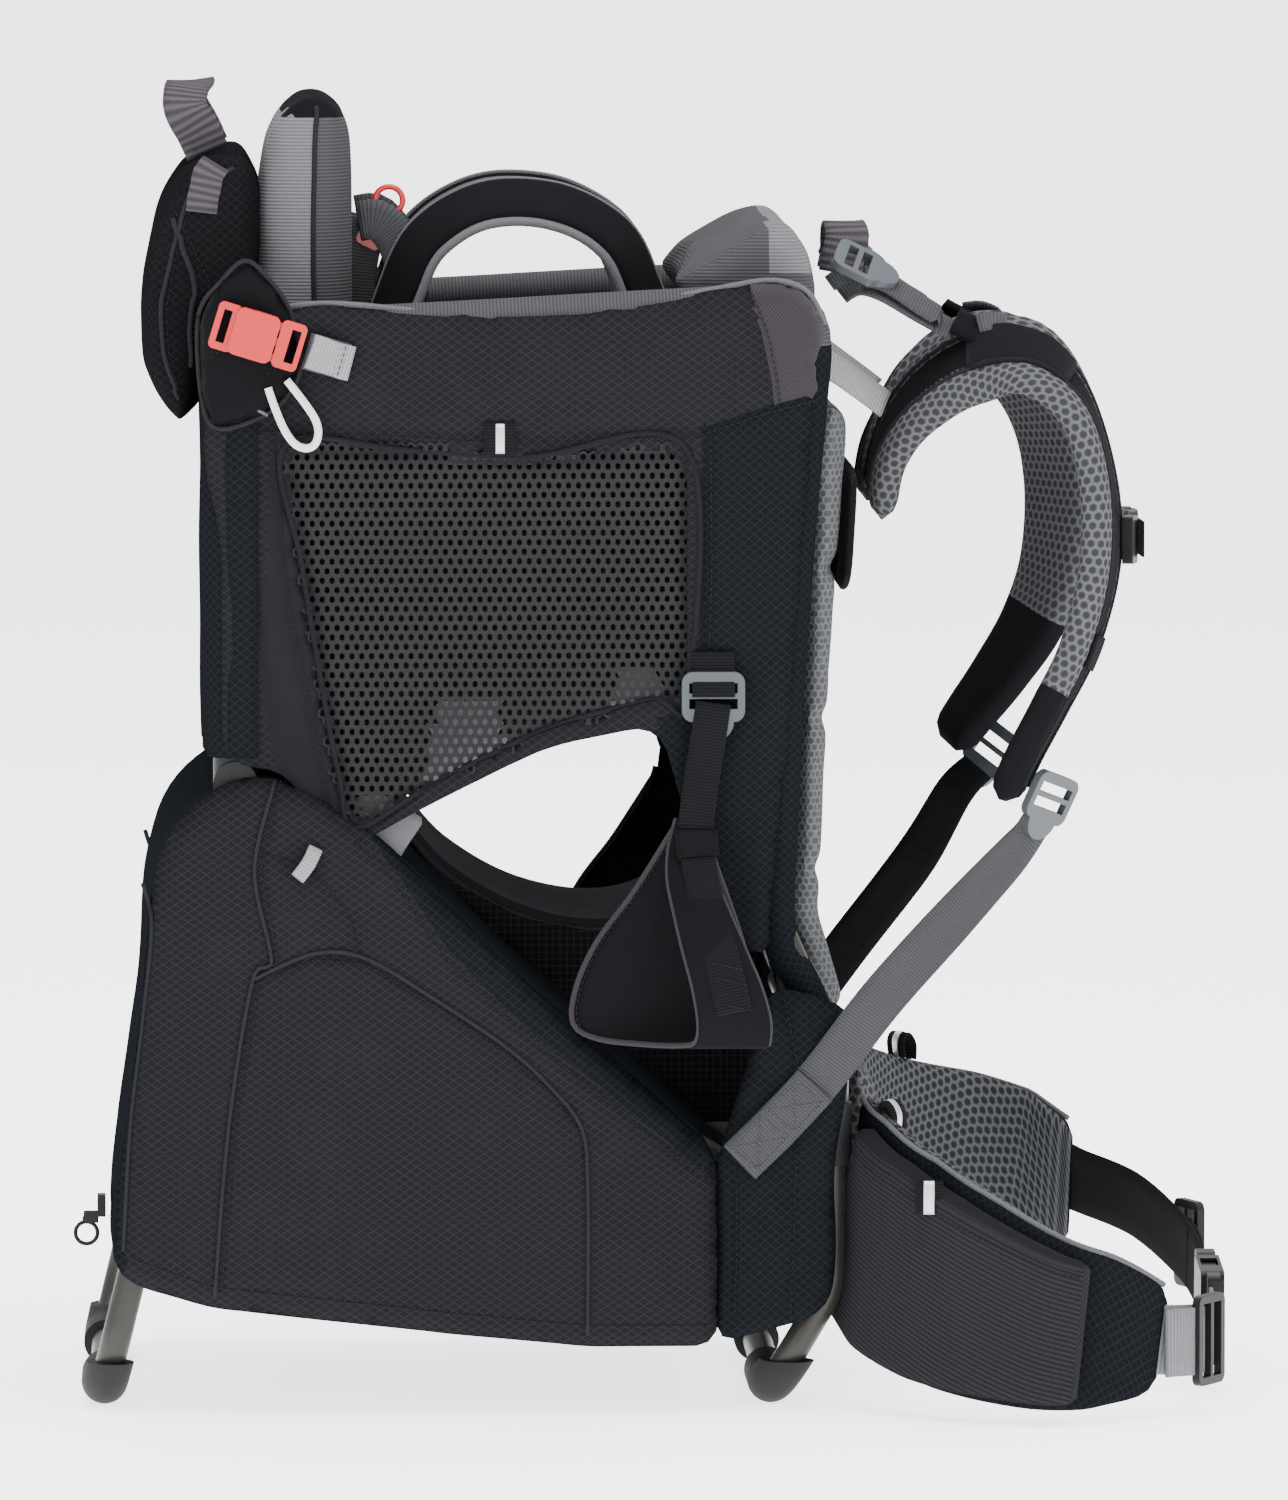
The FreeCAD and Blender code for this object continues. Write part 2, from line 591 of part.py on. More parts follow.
def buckle_halves(width, length, thick):
    """Side release buckle. The male half points to local +X into the female half, whose mouth is at X = 0."""
    body = rounded_box((length, width, thick), 4).translate(Vector(length / 2, 0, 0))
    wall = 1.8
    cavity = block((-1, length * 0.72), (-width / 2 + wall, width / 2 - wall), (-thick / 2 + wall, thick / 2 - wall))
    windows = block((length * 0.25, length * 0.62), (-width, width), (-thick / 2 + wall, thick / 2 - wall))
    loop = rounded_box((13, width, thick * 0.55), 3).translate(Vector(length + 4, 0, 0))
    slot = block((length + 2.5, length + 7), (-width / 2 + 4, width / 2 - 4), (-thick, thick))
    female = body.cut(cavity).cut(windows).fuse(loop).cut(slot).removeSplitter()
    free = 0.5
    inner = width / 2 - wall - free
    low, high = -thick / 2 + wall + free, thick / 2 - wall - free
    male = rounded_box((14, width, thick * 0.8), 3).translate(Vector(-7.8, 0, 0))
    male = male.cut(block((-12, -7), (-width / 2 + 4, width / 2 - 4), (-thick, thick)))
    reach = length * 0.62
    male = male.fuse(block((-2, reach * 0.9), (-2.2, 2.2), (low, high)))
    for side in (1, -1):
        y0, y1 = sided(side, inner - 4.2, inner)
        male = male.fuse(block((-2, reach), (y0, y1), (low, high)))
    return female, male.removeSplitter()


SIDE_CLIP = (-216.0, 585.0)          # X, Z of the mouth of the side buckle
SIDE_CLIP_WAY = (-0.956, 0.0, 0.292)  # from the male half into the female half
SIDE_CLIP_Y = 158.5


def side_clip(side):
    female, male = buckle_halves(26, 24, 9)
    origin = (SIDE_CLIP[0] + 12, side * SIDE_CLIP_Y, SIDE_CLIP[1] - 4)
    return [placed(half, origin, SIDE_CLIP_WAY, (0, side, 0)) for half in (female, male)]


def side_clip_web(side):
    """Tab of webbing that ties the male half to the cockpit's side."""
    x, z = SIDE_CLIP[0] + 12, SIDE_CLIP[1] - 4
    start = Vector(x + 17 * 0.956, side * 157, z - 17 * 0.292)
    end = start + Vector(0.956, 0, -0.292) * 17
    across = (0.292, 0, 0.956)
    foot = Vector(end.x, side * 151, end.z)
    return loft([section(p, across, 20, (0, 1, 0), WEB_T) for p in (start, foot)])


def cord(points, radius):
    """A round cord whose bends are as wide as its straight runs allow. Prints how it was made."""
    reaches = []
    for a, b, c in zip(points, points[1:], points[2:]):
        half_turn = (b - a).getAngle(c - b) / 2
        reaches.append(CORD_REACH * min((b - a).Length, (c - b).Length) / math.tan(half_turn))
    path = Part.Wire(Part.__sortEdges__(rounded_edges(points, [0.0] + reaches + [0.0])))
    ring = Part.Wire(Part.makeCircle(radius, points[0], points[1] - points[0]))
    shape = Part.Wire(path).makePipeShell([ring], True, False)
    print("cord: bend radii", [round(r, 1) for r in reaches], "mm, length", round(path.Length, 1), "mm,",
          "volume over section times length", round(shape.Volume / (math.pi * radius ** 2 * path.Length), 4))
    return shape


def pull_cord(side):
    """White cord loop sewn under the side buckle."""
    y = side * (COCKPIT_Y + CLOTH + 6)
    route = [(-198, 560), (-189, 549), (-180, 535), (-183, 523), (-194, 524), (-203, 540), (-208, 556)]
    return cord([Vector(x, y, z) for x, z in route], PULL_CORD_R)


# ---- the carrier --------------------------------------------------------------------------------------
# Sections of the wearer's pads, and the half width of each.
BACK_PAD = [(95, 200), (76, 265), (82, 400), (95, 552), (106, 552), (94, 400), (88, 265), (107, 196)]
BACK_PAD_Y = 108.0
BACK_PLATE = [(70, 222), (65, 265), (72, 400), (82, 524), (84.5, 524), (74.5, 400), (67.5, 265), (72.5, 222)]
BACK_PLATE_Y = 116.0
LUMBAR_PAD = [(109, 190), (122, 184), (124, 78), (110, 68)]
LUMBAR_Y = 84.0
YOKE = [(103, 440), (107, 508), (111, 508), (108, 440)]
YOKE_Y = 90.0
# Half widths of the pieces that reach across the carrier.
FLOOR_Y, BAG_REAR_Y, DROOL_Y, POCKET_Y = 116.0, 150.0, 112.0, 104.0
FLOOR_BENDS = [0, 40, 40, 40, 14, 0]
HIP_BUCKLE = (50.0, 46.0, 13.0)      # width, length and thickness
BUCKLE_WAY = (0, -1, -0.1)


def make_parts():
    foot_path = front_foot_path()
    front_foot = tube(foot_path, TUBE_R)
    sides = {side: frame_side(side) for side in (1, -1)}
    parts = {
        "front_foot_tube": front_foot,
        "frame_side_left": sides[1],
        "frame_side_right": sides[-1],
        "frame_struts": group(cross_bars([sides[1], sides[-1]]) + [seat_strut(s, front_foot) for s in (1, -1)]),
        "tube_sleeves": both(lambda s: tube_sleeve(s).cut(sides[s]).cut(front_foot)),
        "pivot_hubs": both(pivot_hub),
        "pivot_pins": both(pivot_pin),
        "lock_button_left": lock_button(1),
        "lock_button_right": lock_button(-1),
        "lock_springs": both(lock_spring),
        "front_foot_pads": foot_pads(foot_path, FRONT_FOOT_X),
        "kickstand_tube": kickstand_tube(),
        "kickstand_foot_pads": foot_pads(kickstand_path(), KICK_FOOT_X),
    }
    parts["back_pad"] = panel(BACK_PAD, -BACK_PAD_Y, BACK_PAD_Y, 5)
    parts["back_plate"] = panel(BACK_PLATE, -BACK_PLATE_Y, BACK_PLATE_Y, 0)
    parts["lumbar_pad"] = panel(LUMBAR_PAD, -LUMBAR_Y, LUMBAR_Y, 5)
    for side, name in ((1, "left"), (-1, "right")):
        parts[f"cockpit_side_{name}"] = panel(COCKPIT_SIDE, *sided(side, COCKPIT_Y, COCKPIT_Y + CLOTH))
        parts[f"lower_bag_side_{name}"] = panel(BAG_SIDE, *sided(side, BAG_Y, BAG_Y + CLOTH))
        parts[f"shoulder_strap_{name}"] = shoulder_strap(side)
        parts[f"hip_wing_{name}"] = hip_wing(side)
        parts[f"stirrup_{name}"] = stirrup(side)
        parts[f"side_clip_male_{name}"] = side_clip(side)[1]
    parts["hip_pockets"] = both(hip_pocket)
    parts["side_clip_females"] = both(lambda s: side_clip(s)[0])
    parts["side_clip_webbing"] = both(side_clip_web)
    parts["cockpit_rear"] = group([rear_wall(), rear_tab(1), rear_tab(-1)])
    parts["seat_saddle"] = saddle()
    parts["lower_bag_tops"] = both(bag_top)
    parts["lower_bag_floor"] = ribbon(BAG_FLOOR, -FLOOR_Y, FLOOR_Y, CLOTH, FLOOR_BENDS)
    parts["lower_bag_rear"] = ribbon(BAG_REAR, -BAG_REAR_Y, BAG_REAR_Y, CLOTH, 40)
    parts["front_flaps"] = both(lambda s: panel(FLAP, *sided(s, FLAP_Y, FLAP_Y + CLOTH)))
    parts["drool_pad"] = panel(DROOL, -DROOL_Y, DROOL_Y, 10)
    parts["headrest_pad"] = headrest()
    parts["sunshade_pocket"] = panel(POCKET, -POCKET_Y, POCKET_Y, 8)
    parts["halo_straps"] = group([halo(1), halo(-1), harness_web(1), harness_web(-1)])
    parts["harness_clip"] = harness_clip()
    parts["grab_handles"] = group([front_handle(), rear_handle()])
    parts["webbing_adjusters"] = adjusters()
    parts["hip_webbing"] = both(belt_run)
    female, male = buckle_halves(*HIP_BUCKLE)
    parts["hip_belt_hardware"] = group([placed(female, BUCKLE, BUCKLE_WAY, (1, 0, 0)), both(tri_glide)])
    parts["hip_buckle_male"] = placed(male, BUCKLE, BUCKLE_WAY, (1, 0, 0))
    parts["harness_yoke"] = panel(YOKE, -YOKE_Y, YOKE_Y, 2)
    parts["strap_ladder_locks"] = both(strap_lock)
    parts["harness_webbing"] = group([run(s) for run in (strap_webbing, load_lifter) for s in (1, -1)])
    parts["zip_slider"], parts["zip_ring"] = zip_pull()
    parts["pull_cords"] = both(pull_cord)
    sternum(parts)
    chest(parts)
    return parts


STERNUM_Z = 468.0
STERNUM_WEB = 20.0


def sternum_end(side):
    """Point in front of a shoulder strap where the chest strap's slider sits, and the strap's normal there."""
    path = [Vector(*p) for p in STRAP_PATHS[side]]
    low = next(i for i in range(5, len(path)) if path[i].z < STERNUM_Z)
    a, b = path[low - 1], path[low]
    spot = a + (b - a) * ((STERNUM_Z - a.z) / (b.z - a.z))
    turn = math.radians(STRAP_TURNS[side][low])
    normal = Vector(math.cos(turn), side * math.sin(turn), 0)
    inward = Vector(math.sin(turn), -side * math.cos(turn), 0)
    return spot + normal * (STRAP_T / 2 + 5.5) + inward * 18, normal


def sternum(parts):
    """Chest strap: a slider on each shoulder strap, webbing and a small buckle in the middle."""
    ends = {side: sternum_end(side) for side in (1, -1)}
    clamps = [placed(rounded_box((26, 16, 6), 2), at, (0, 0, 1), normal) for at, normal in ends.values()]
    lift = Vector(7.5, 0, 0)
    left, right = ends[1][0] + lift, ends[-1][0] + lift
    way = Vector(right - left).normalize()
    mouth = (left + right) * 0.5
    female, male = buckle_halves(24, 22, 8)
    runs = []
    for a, b in ((left, mouth - way * 16), (mouth + way * 33.5, right)):
        runs.append(loft([section(c, (0, 0, 1), STERNUM_WEB, (1, 0, 0), 1.6) for c in (a, b)]))
    parts["sternum_sliders"] = group(clamps)
    parts["sternum_webbing"] = group(runs)
    parts["sternum_buckle_female"] = placed(female, mouth, way, (1, 0, 0))
    parts["sternum_buckle_male"] = placed(male, mouth, way, (1, 0, 0))


ZIP_Y = -94.0
ZIP_EYE = Vector(-307.5, ZIP_Y, 100.8)


def zip_pull():
    """Slider of the lower compartment's zip with its bail, and the ring that swings on the bail's pin."""
    pin_r, barrel_r, ring_r, wire_r = 0.9, 2.1, 6.0, 1.1
    slider = block((-301.5, -297), (ZIP_Y - 5, ZIP_Y + 5), (102, 114))
    pin = rod(ZIP_EYE, (0, 1, 0), pin_r, 7.6)
    cheeks = [block((-309, -301), sided(side, 2.6, 3.8), (98.6, 104.5)) for side in (1, -1)]
    for cheek in cheeks:
        cheek.translate(Vector(0, ZIP_Y, 0))
    barrel = rod(ZIP_EYE, (0, 1, 0), barrel_r, 5).fuse(
        Part.makeTorus(ring_r, wire_r, ZIP_EYE - Vector(0, 0, ring_r + barrel_r - 0.1), Vector(0, 1, 0)))
    ring = barrel.cut(rod(ZIP_EYE, (0, 1, 0), pin_r + RUN_GAP, 6))
    return slider.fuse([pin] + cheeks).removeSplitter(), ring


CHEST = Vector(-2.0, 0.0, 572.0)


def chest(parts):
    """Buckle and short straps that join the two halves of the child's harness."""
    female, male = buckle_halves(22, 20, 8)
    parts["chest_buckle_female"] = placed(female, CHEST, (0, -1, 0), (1, 0, 0.3))
    parts["chest_buckle_male"] = placed(male, CHEST, (0, -1, 0), (1, 0, 0.3))
    runs = []
    for y0, y1 in ((-43, -31), (15.2, 43)):
        runs.append(loft([section((CHEST.x, y, CHEST.z), (0.3, 0, -1), 18, (1, 0, 0.3), 1.6) for y in (y0, y1)]))
    parts["chest_webbing"] = group(runs)


def main():
    os.makedirs("parts", exist_ok=True)
    for name, shape in make_parts().items():
        solids = shape.Solids
        bad = [s for s in solids if not s.isValid() or s.Volume <= 0]
        fault = " INVALID" if bad or not solids else ""
        print(f"{name}: {len(solids)} solid(s), {shape.Volume / 1000:.1f} cm3{fault}")
        group(solids).exportStep(f"parts/{name}.step")


main()
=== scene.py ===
"""Looks of the baby carrier backpack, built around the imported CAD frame.

Lengths in this script are millimetres, in the frame's own axes, until a mesh is written in metres.
side is -1 for the side nearer the camera (-Y) and +1 for the other.
"""

import math

import bmesh
import bpy
import numpy as np
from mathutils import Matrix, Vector, noise
from mathutils.bvhtree import BVHTree
from mathutils.geometry import delaunay_2d_cdt


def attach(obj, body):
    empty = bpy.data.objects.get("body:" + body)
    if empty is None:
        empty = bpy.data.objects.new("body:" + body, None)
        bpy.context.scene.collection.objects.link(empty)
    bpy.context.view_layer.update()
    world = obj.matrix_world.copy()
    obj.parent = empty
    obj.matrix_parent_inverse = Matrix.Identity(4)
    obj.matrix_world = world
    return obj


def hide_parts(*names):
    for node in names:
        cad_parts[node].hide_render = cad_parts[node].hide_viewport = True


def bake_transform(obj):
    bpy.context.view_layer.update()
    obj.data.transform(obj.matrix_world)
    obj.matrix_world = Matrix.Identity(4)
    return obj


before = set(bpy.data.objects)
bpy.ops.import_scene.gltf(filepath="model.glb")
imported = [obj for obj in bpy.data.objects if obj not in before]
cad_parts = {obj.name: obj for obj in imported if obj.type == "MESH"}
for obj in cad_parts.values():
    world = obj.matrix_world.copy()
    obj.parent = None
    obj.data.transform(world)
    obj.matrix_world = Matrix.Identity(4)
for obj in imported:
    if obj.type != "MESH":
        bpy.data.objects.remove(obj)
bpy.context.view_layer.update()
MM = 0.001
SIDE_NAMES = {-1: "right", 1: "left"}

# ---- camera --------------------------------------------------------------------------------------
CAMERA_AZIMUTH, CAMERA_ELEVATION = math.radians(-2.0), math.radians(5.0)
CAMERA_DISTANCE = 7.0
CAMERA_TARGET = Vector((-0.001, 0.0, 0.347))
VIEW_HEIGHT = 0.825            # metres seen from top to bottom at the target
SENSOR = 36.0


def make_camera():
    data = bpy.data.cameras.new("camera")
    data.sensor_fit = "VERTICAL"
    data.sensor_height = SENSOR
    data.lens = SENSOR * CAMERA_DISTANCE / VIEW_HEIGHT
    data.clip_end = 60
    camera = bpy.data.objects.new("camera", data)
    flat = math.cos(CAMERA_ELEVATION)
    away = Vector((math.sin(CAMERA_AZIMUTH) * flat, -math.cos(CAMERA_AZIMUTH) * flat,
                   math.sin(CAMERA_ELEVATION)))
    camera.location = CAMERA_TARGET + away * CAMERA_DISTANCE
    camera.rotation_euler = (-away).to_track_quat("-Z", "Y").to_euler()
    bpy.context.scene.collection.objects.link(camera)
    bpy.context.scene.camera = camera


make_camera()


# ---- points and curves ---------------------------------------------------------------------------
def spline(points, step, closed=False):
    """Points evenly spaced along a smooth curve through the given ones."""
    p = np.array(points, float)
    n = len(p)
    fine = []
    for i in range(n if closed else n - 1):
        around = [(i + k) % n if closed else min(max(i + k, 0), n - 1) for k in (-1, 0, 1, 2)]
        a, b, c, d = p[around]
        for t in np.linspace(0, 1, 12, endpoint=False):
            fine.append(0.5 * (2 * b + (c - a) * t + (2 * a - 5 * b + 4 * c - d) * t ** 2
                               + (3 * b - a - 3 * c + d) * t ** 3))
    fine.append(fine[0] if closed else p[-1])
    return resample(fine, step, closed)


def resample(points, step, closed=False):
    """The same polyline with evenly spaced points; a closed one must end where it starts."""
    p = np.array(points, float)
    along = np.concatenate([[0], np.cumsum(np.linalg.norm(np.diff(p, axis=0), axis=1))])
    count = max(int(round(along[-1] / step)), 3)
    at = np.linspace(0, along[-1], count + 1)
    even = np.stack([np.interp(at, along, p[:, k]) for k in range(p.shape[1])], 1)
    return even[:-1] if closed else even


def soft_corners(points, radius):
    """A closed outline whose corners are cut three times, each time nearer to the corner."""
    outline = [np.array(p, float) for p in points]
    for _ in range(3):
        cut = []
        for a, b in zip(outline, [*outline[1:], outline[0]]):
            reach = min(radius / max(np.linalg.norm(b - a), 1e-6), 0.25)
            cut += [a + (b - a) * reach, b + (a - b) * reach]
        outline = cut
        radius /= 2.2
    return outline


def distance(points, path, closed=False):
    """Distance from each 2-D point to a polyline."""
    a = np.array(path, float)
    b = np.roll(a, -1, 0)
    if not closed:
        a, b = a[:-1], b[:-1]
    run = b - a
    gap = points[:, None] - a[None]
    t = np.clip((gap * run).sum(2) / np.maximum((run * run).sum(1), 1e-9), 0, 1)
    return np.linalg.norm(gap - t[..., None] * run, axis=2).min(1)


def inside(points, polygon):
    """Which 2-D points lie in a closed polygon."""
    a = np.array(polygon, float)
    b = np.roll(a, -1, 0)
    x, y = points[:, 0][:, None], points[:, 1][:, None]
    crosses = (a[:, 1] > y) != (b[:, 1] > y)
    rise = np.where(np.abs(b[:, 1] - a[:, 1]) < 1e-9, 1e-9, b[:, 1] - a[:, 1])
    return (crosses & (x < a[:, 0] + (b[:, 0] - a[:, 0]) * (y - a[:, 1]) / rise)).sum(1) % 2 == 1


def ripple(points, size, seed=0.0):
    """Smooth noise from -1 to 1 at each point, with features of about the given size."""
    return np.array([noise.noise(Vector((*[c / size for c in p[:2]], seed))) for p in points])


def unit(v):
    v = np.array(v, float)
    return v / max(np.linalg.norm(v), 1e-9)


# ---- meshes --------------------------------------------------------------------------------------
SEAM_HALF = 2.2                # a seam has rows of points this far each side of it
EDGE_CLEAR = 1.2               # and none this near the cloth's edge
PRESSURE = 4.0                 # how hard the cloth solver blows a pad up


def mesh_object(name, verts, faces, materials, uv=None, slots=None):
    """A smooth-shaded mesh, its vertices in millimetres. uv has a pair per vertex or per face corner."""
    mesh = bpy.data.meshes.new(name)
    mesh.from_pydata((np.array(verts, float) * MM).tolist(), [], [list(map(int, f)) for f in faces])
    for material in materials:
        mesh.materials.append(material)
    if slots is not None:
        mesh.polygons.foreach_set("material_index", list(slots))
    layer = mesh.uv_layers.new(name="cloth")
    if uv is not None:
        corners = [uv[i] for f in faces for i in f] if len(uv) == len(verts) else uv
        layer.data.foreach_set("uv", (np.array(corners, float) * MM).ravel())
    mesh.polygons.foreach_set("use_smooth", [True] * len(mesh.polygons))
    mesh.validate()
    obj = bpy.data.objects.new(name, mesh)
    bpy.context.scene.collection.objects.link(obj)
    return obj


def box_uv(obj):
    """Lays the cloth pattern on a mesh along whichever axis each face looks down most."""
    mesh = obj.data
    layer = mesh.uv_layers.get("cloth") or mesh.uv_layers.new(name="cloth")
    for face in mesh.polygons:
        x, y, z = (abs(c) for c in face.normal)
        keep = (0, 2) if y >= x and y >= z else (1, 2) if x >= z else (0, 1)
        for i in face.loop_indices:
            co = mesh.vertices[mesh.loops[i].vertex_index].co
            layer.data[i].uv = (co[keep[0]], co[keep[1]])


def bake_modifiers(obj):
    """Makes the modifiers' result the mesh."""
    graph = bpy.context.evaluated_depsgraph_get()
    shaped = obj.evaluated_get(graph)
    made = bpy.data.meshes.new_from_object(shaped, preserve_all_data_layers=True, depsgraph=graph)
    obj.modifiers.clear()
    obj.data = made
    return obj


def thicken(obj, thickness):
    """Gives a sheet its thickness, away from its normals."""
    solid = obj.modifiers.new("thickness", "SOLIDIFY")
    solid.thickness = thickness * MM
    solid.offset = -1
    return bake_modifiers(obj)


def subdivide(obj):
    smooth = obj.modifiers.new("smooth", "SUBSURF")
    smooth.levels = smooth.render_levels = 1
    return bake_modifiers(obj)


def seam_rows(seams, step, rim, hole):
    """Points on each seam and close beside it, where it lies on the cloth."""
    rows = []
    for seam in seams:
        line = resample(seam, step)
        along = np.gradient(line, axis=0)
        normal = np.stack([-along[:, 1], along[:, 0]], 1) / np.linalg.norm(along, axis=1)[:, None]
        for shift in (-SEAM_HALF, 0, SEAM_HALF):
            row = line + normal * shift
            row = row[inside(row, rim)]
            if hole is not None:
                row = row[~inside(row, hole)]
            if len(row):
                row = row[distance(row, rim, True) > EDGE_CLEAR]
            rows += list(row)
    return rows


def fill_points(rim, fixed, step):
    """Staggered rows of points inside an outline, clear of the points that are already there."""
    low, high = rim.min(0), rim.max(0)
    xs, zs = np.arange(low[0], high[0], step), np.arange(low[1], high[1], step * 0.87)
    grid = np.array([(x + (j % 2) * step / 2, z) for j, z in enumerate(zs) for x in xs])
    grid = grid[inside(grid, rim)]
    far = np.array([np.min(np.linalg.norm(fixed - g, axis=1)) for g in grid])
    return grid[far > step * 0.55]


def drop_loose_points(obj):
    clean = bmesh.new()
    clean.from_mesh(obj.data)
    bmesh.ops.delete(clean, geom=[v for v in clean.verts if not v.link_faces], context="VERTS")
    clean.to_mesh(obj.data)
    clean.free()


def sew(name, outline, place, materials, step=7.0, seams=(), hole=None, regions=(), thick=1.4, flip=False):
    """A cut of cloth: an outline in its own plane, meshed with its seams, and put in place by a function.

    regions are (polygon, material slot) pairs; place turns N x 2 points into N x 3.
    """
    rings = [resample([*ring, ring[0]], step, True) for ring in (outline, hole) if ring is not None]
    rim, gap = rings[0], rings[1] if len(rings) > 1 else None
    points, edges = [], []
    for ring in rings:
        start = len(points)
        points += list(ring)
        edges += [(start + i, start + (i + 1) % len(ring)) for i in range(len(ring))]
    points += seam_rows(seams, step, rim, gap)
    fixed = np.array(points)
    cloud = [Vector(p) for p in np.vstack([fixed, fill_points(rim, fixed, step)])]
    flat, _, triangles, *_ = delaunay_2d_cdt(cloud, edges, [], 0, 1e-5)
    flat = np.array([tuple(v) for v in flat])
    middle = np.array([flat[list(t)].mean(0) for t in triangles])
    chosen = inside(middle, rim)
    if gap is not None:
        chosen &= ~inside(middle, gap)
    faces = [t[::-1] if flip else t for t, c in zip(triangles, chosen) if c]
    middle = middle[chosen]
    slots = np.zeros(len(faces), int)
    for polygon, slot in regions:
        slots[inside(middle, polygon)] = slot
    obj = mesh_object(name, place(flat), faces, materials, flat, slots)
    drop_loose_points(obj)
    return thicken(obj, thick)


def loft(name, rings, materials, caps=True, closed=True):
    """A skin over rings of the same number of points."""
    rings = [np.array(r, float) for r in rings]
    n, k = len(rings), len(rings[0])
    middles = np.array([r.mean(0) for r in rings])
    along = np.concatenate([[0], np.cumsum(np.linalg.norm(np.diff(middles, axis=0), axis=1))])
    around = [np.concatenate([[0], np.cumsum(np.linalg.norm(np.roll(r, -1, 0) - r,
                                                            axis=1))]) for r in rings]
    faces, uv = [], []
    for i in range(n - 1):
        for j in range(k if closed else k - 1):
            m = (j + 1) % k
            faces.append((i * k + j, i * k + m, (i + 1) * k + m, (i + 1) * k + j))
            uv += [(around[i][j], along[i]), (around[i][j + 1], along[i]),
                   (around[i + 1][j + 1], along[i + 1]), (around[i + 1][j], along[i + 1])]
    if caps:
        for i, order in ((0, range(k - 1, -1, -1)), (n - 1, range(k))):
            faces.append(tuple(i * k + j for j in order))
            uv += [(around[i][j], along[i]) for j in order]
    return mesh_object(name, np.vstack(rings), faces, materials, uv)


def frames(path, across):
    """Along, across and normal vectors at each point of a path; across is one vector or one per point."""
    path = np.array(path, float)
    along = np.gradient(path, axis=0)
    along /= np.linalg.norm(along, axis=1)[:, None]
    side = np.array(across, float)
    side = np.tile(side, (len(path), 1)) if side.ndim == 1 else side
    side = side - (side * along).sum(1)[:, None] * along
    side /= np.linalg.norm(side, axis=1)[:, None]
    return along, side, np.cross(along, side)


def spread(values, count):
    """Values given at evenly spaced stations, blended over count points."""
    v = np.array(values, float)
    at = np.linspace(0, len(v) - 1, count)
    if v.ndim == 1:
        return np.interp(at, range(len(v)), v)
    return np.stack([np.interp(at, range(len(v)), v[:, k]) for k in range(v.shape[1])], 1)


def webbing(name, points, across, width, material, thick=1.7, step=3.5):
    """Flat woven webbing along a path. across is one vector, or one for each point of the path."""
    path = spline(points, step)
    across = np.array(across, float)
    if across.ndim == 2:
        across = spread(across, len(path))
    _, side, normal = frames(path, across)
    w, t = width / 2, thick / 2
    profile = [(-w, 0), (-w + 0.5, t), (-w * 0.5, t), (0, t), (w * 0.5, t), (w - 0.5, t),
               (w, 0), (w - 0.5, -t), (w * 0.5, -t), (0, -t), (-w * 0.5, -t), (-w + 0.5, -t)]
    rings = [[p + s * a + n * b for a, b in profile] for p, s, n in zip(path, side, normal)]
    return loft(name, rings, [material])


def cordage(name, points, radius, material, step=3.0, sides=8, closed=False, place=None):
    """A round cord or piping through the points."""
    path = spline(points, step, closed)
    if closed:
        path = np.vstack([path, path[:1]])
    if place is not None:
        path = place(path)
    along = np.gradient(path, axis=0)
    if closed:
        along[0] = along[-1] = path[1] - path[-2]
    along /= np.linalg.norm(along, axis=1)[:, None]
    up = np.cross(along[0], (0, 1, 0.1))
    rings = []
    for p, a in zip(path, along):
        up = unit(up - a * np.dot(up, a))
        over = np.cross(a, up)
        turn = np.linspace(0, 2 * math.pi, sides, endpoint=False)
        rings.append([p + radius * (math.cos(t) * up + math.sin(t) * over) for t in turn])
    return loft(name, rings, [material], caps=not closed)


def stitches(name, lines, material, pitch=3.4, length=2.3, thick=0.5):
    """Rows of separate stitches along 3-D lines."""
    verts, faces = [], []
    for line in lines:
        run = resample(line, pitch)
        for a, b in zip(run[:-1], run[1:]):
            way = unit(b - a)
            side = unit(np.cross(way, (0.1, 0.3, 1))) * thick
            over = np.cross(way, side)
            start = len(verts)
            for p, s in ((a, 0.5), (a + way * length * 0.5, 1.0), (a + way * length, 0.5)):
                verts += [p + side * s, p + over * s, p - side * s, p - over * s]
            for first in (start, start + 4):
                faces += [(first + j, first + (j + 1) % 4, first + 4 + (j + 1) % 4, first + 4 + j) for j in range(4)]
            faces += [tuple(start + j for j in (3, 2, 1, 0)), tuple(start + 8 + j for j in range(4))]
    return mesh_object(name, verts, faces, [material], [(v[0], v[2]) for v in verts])


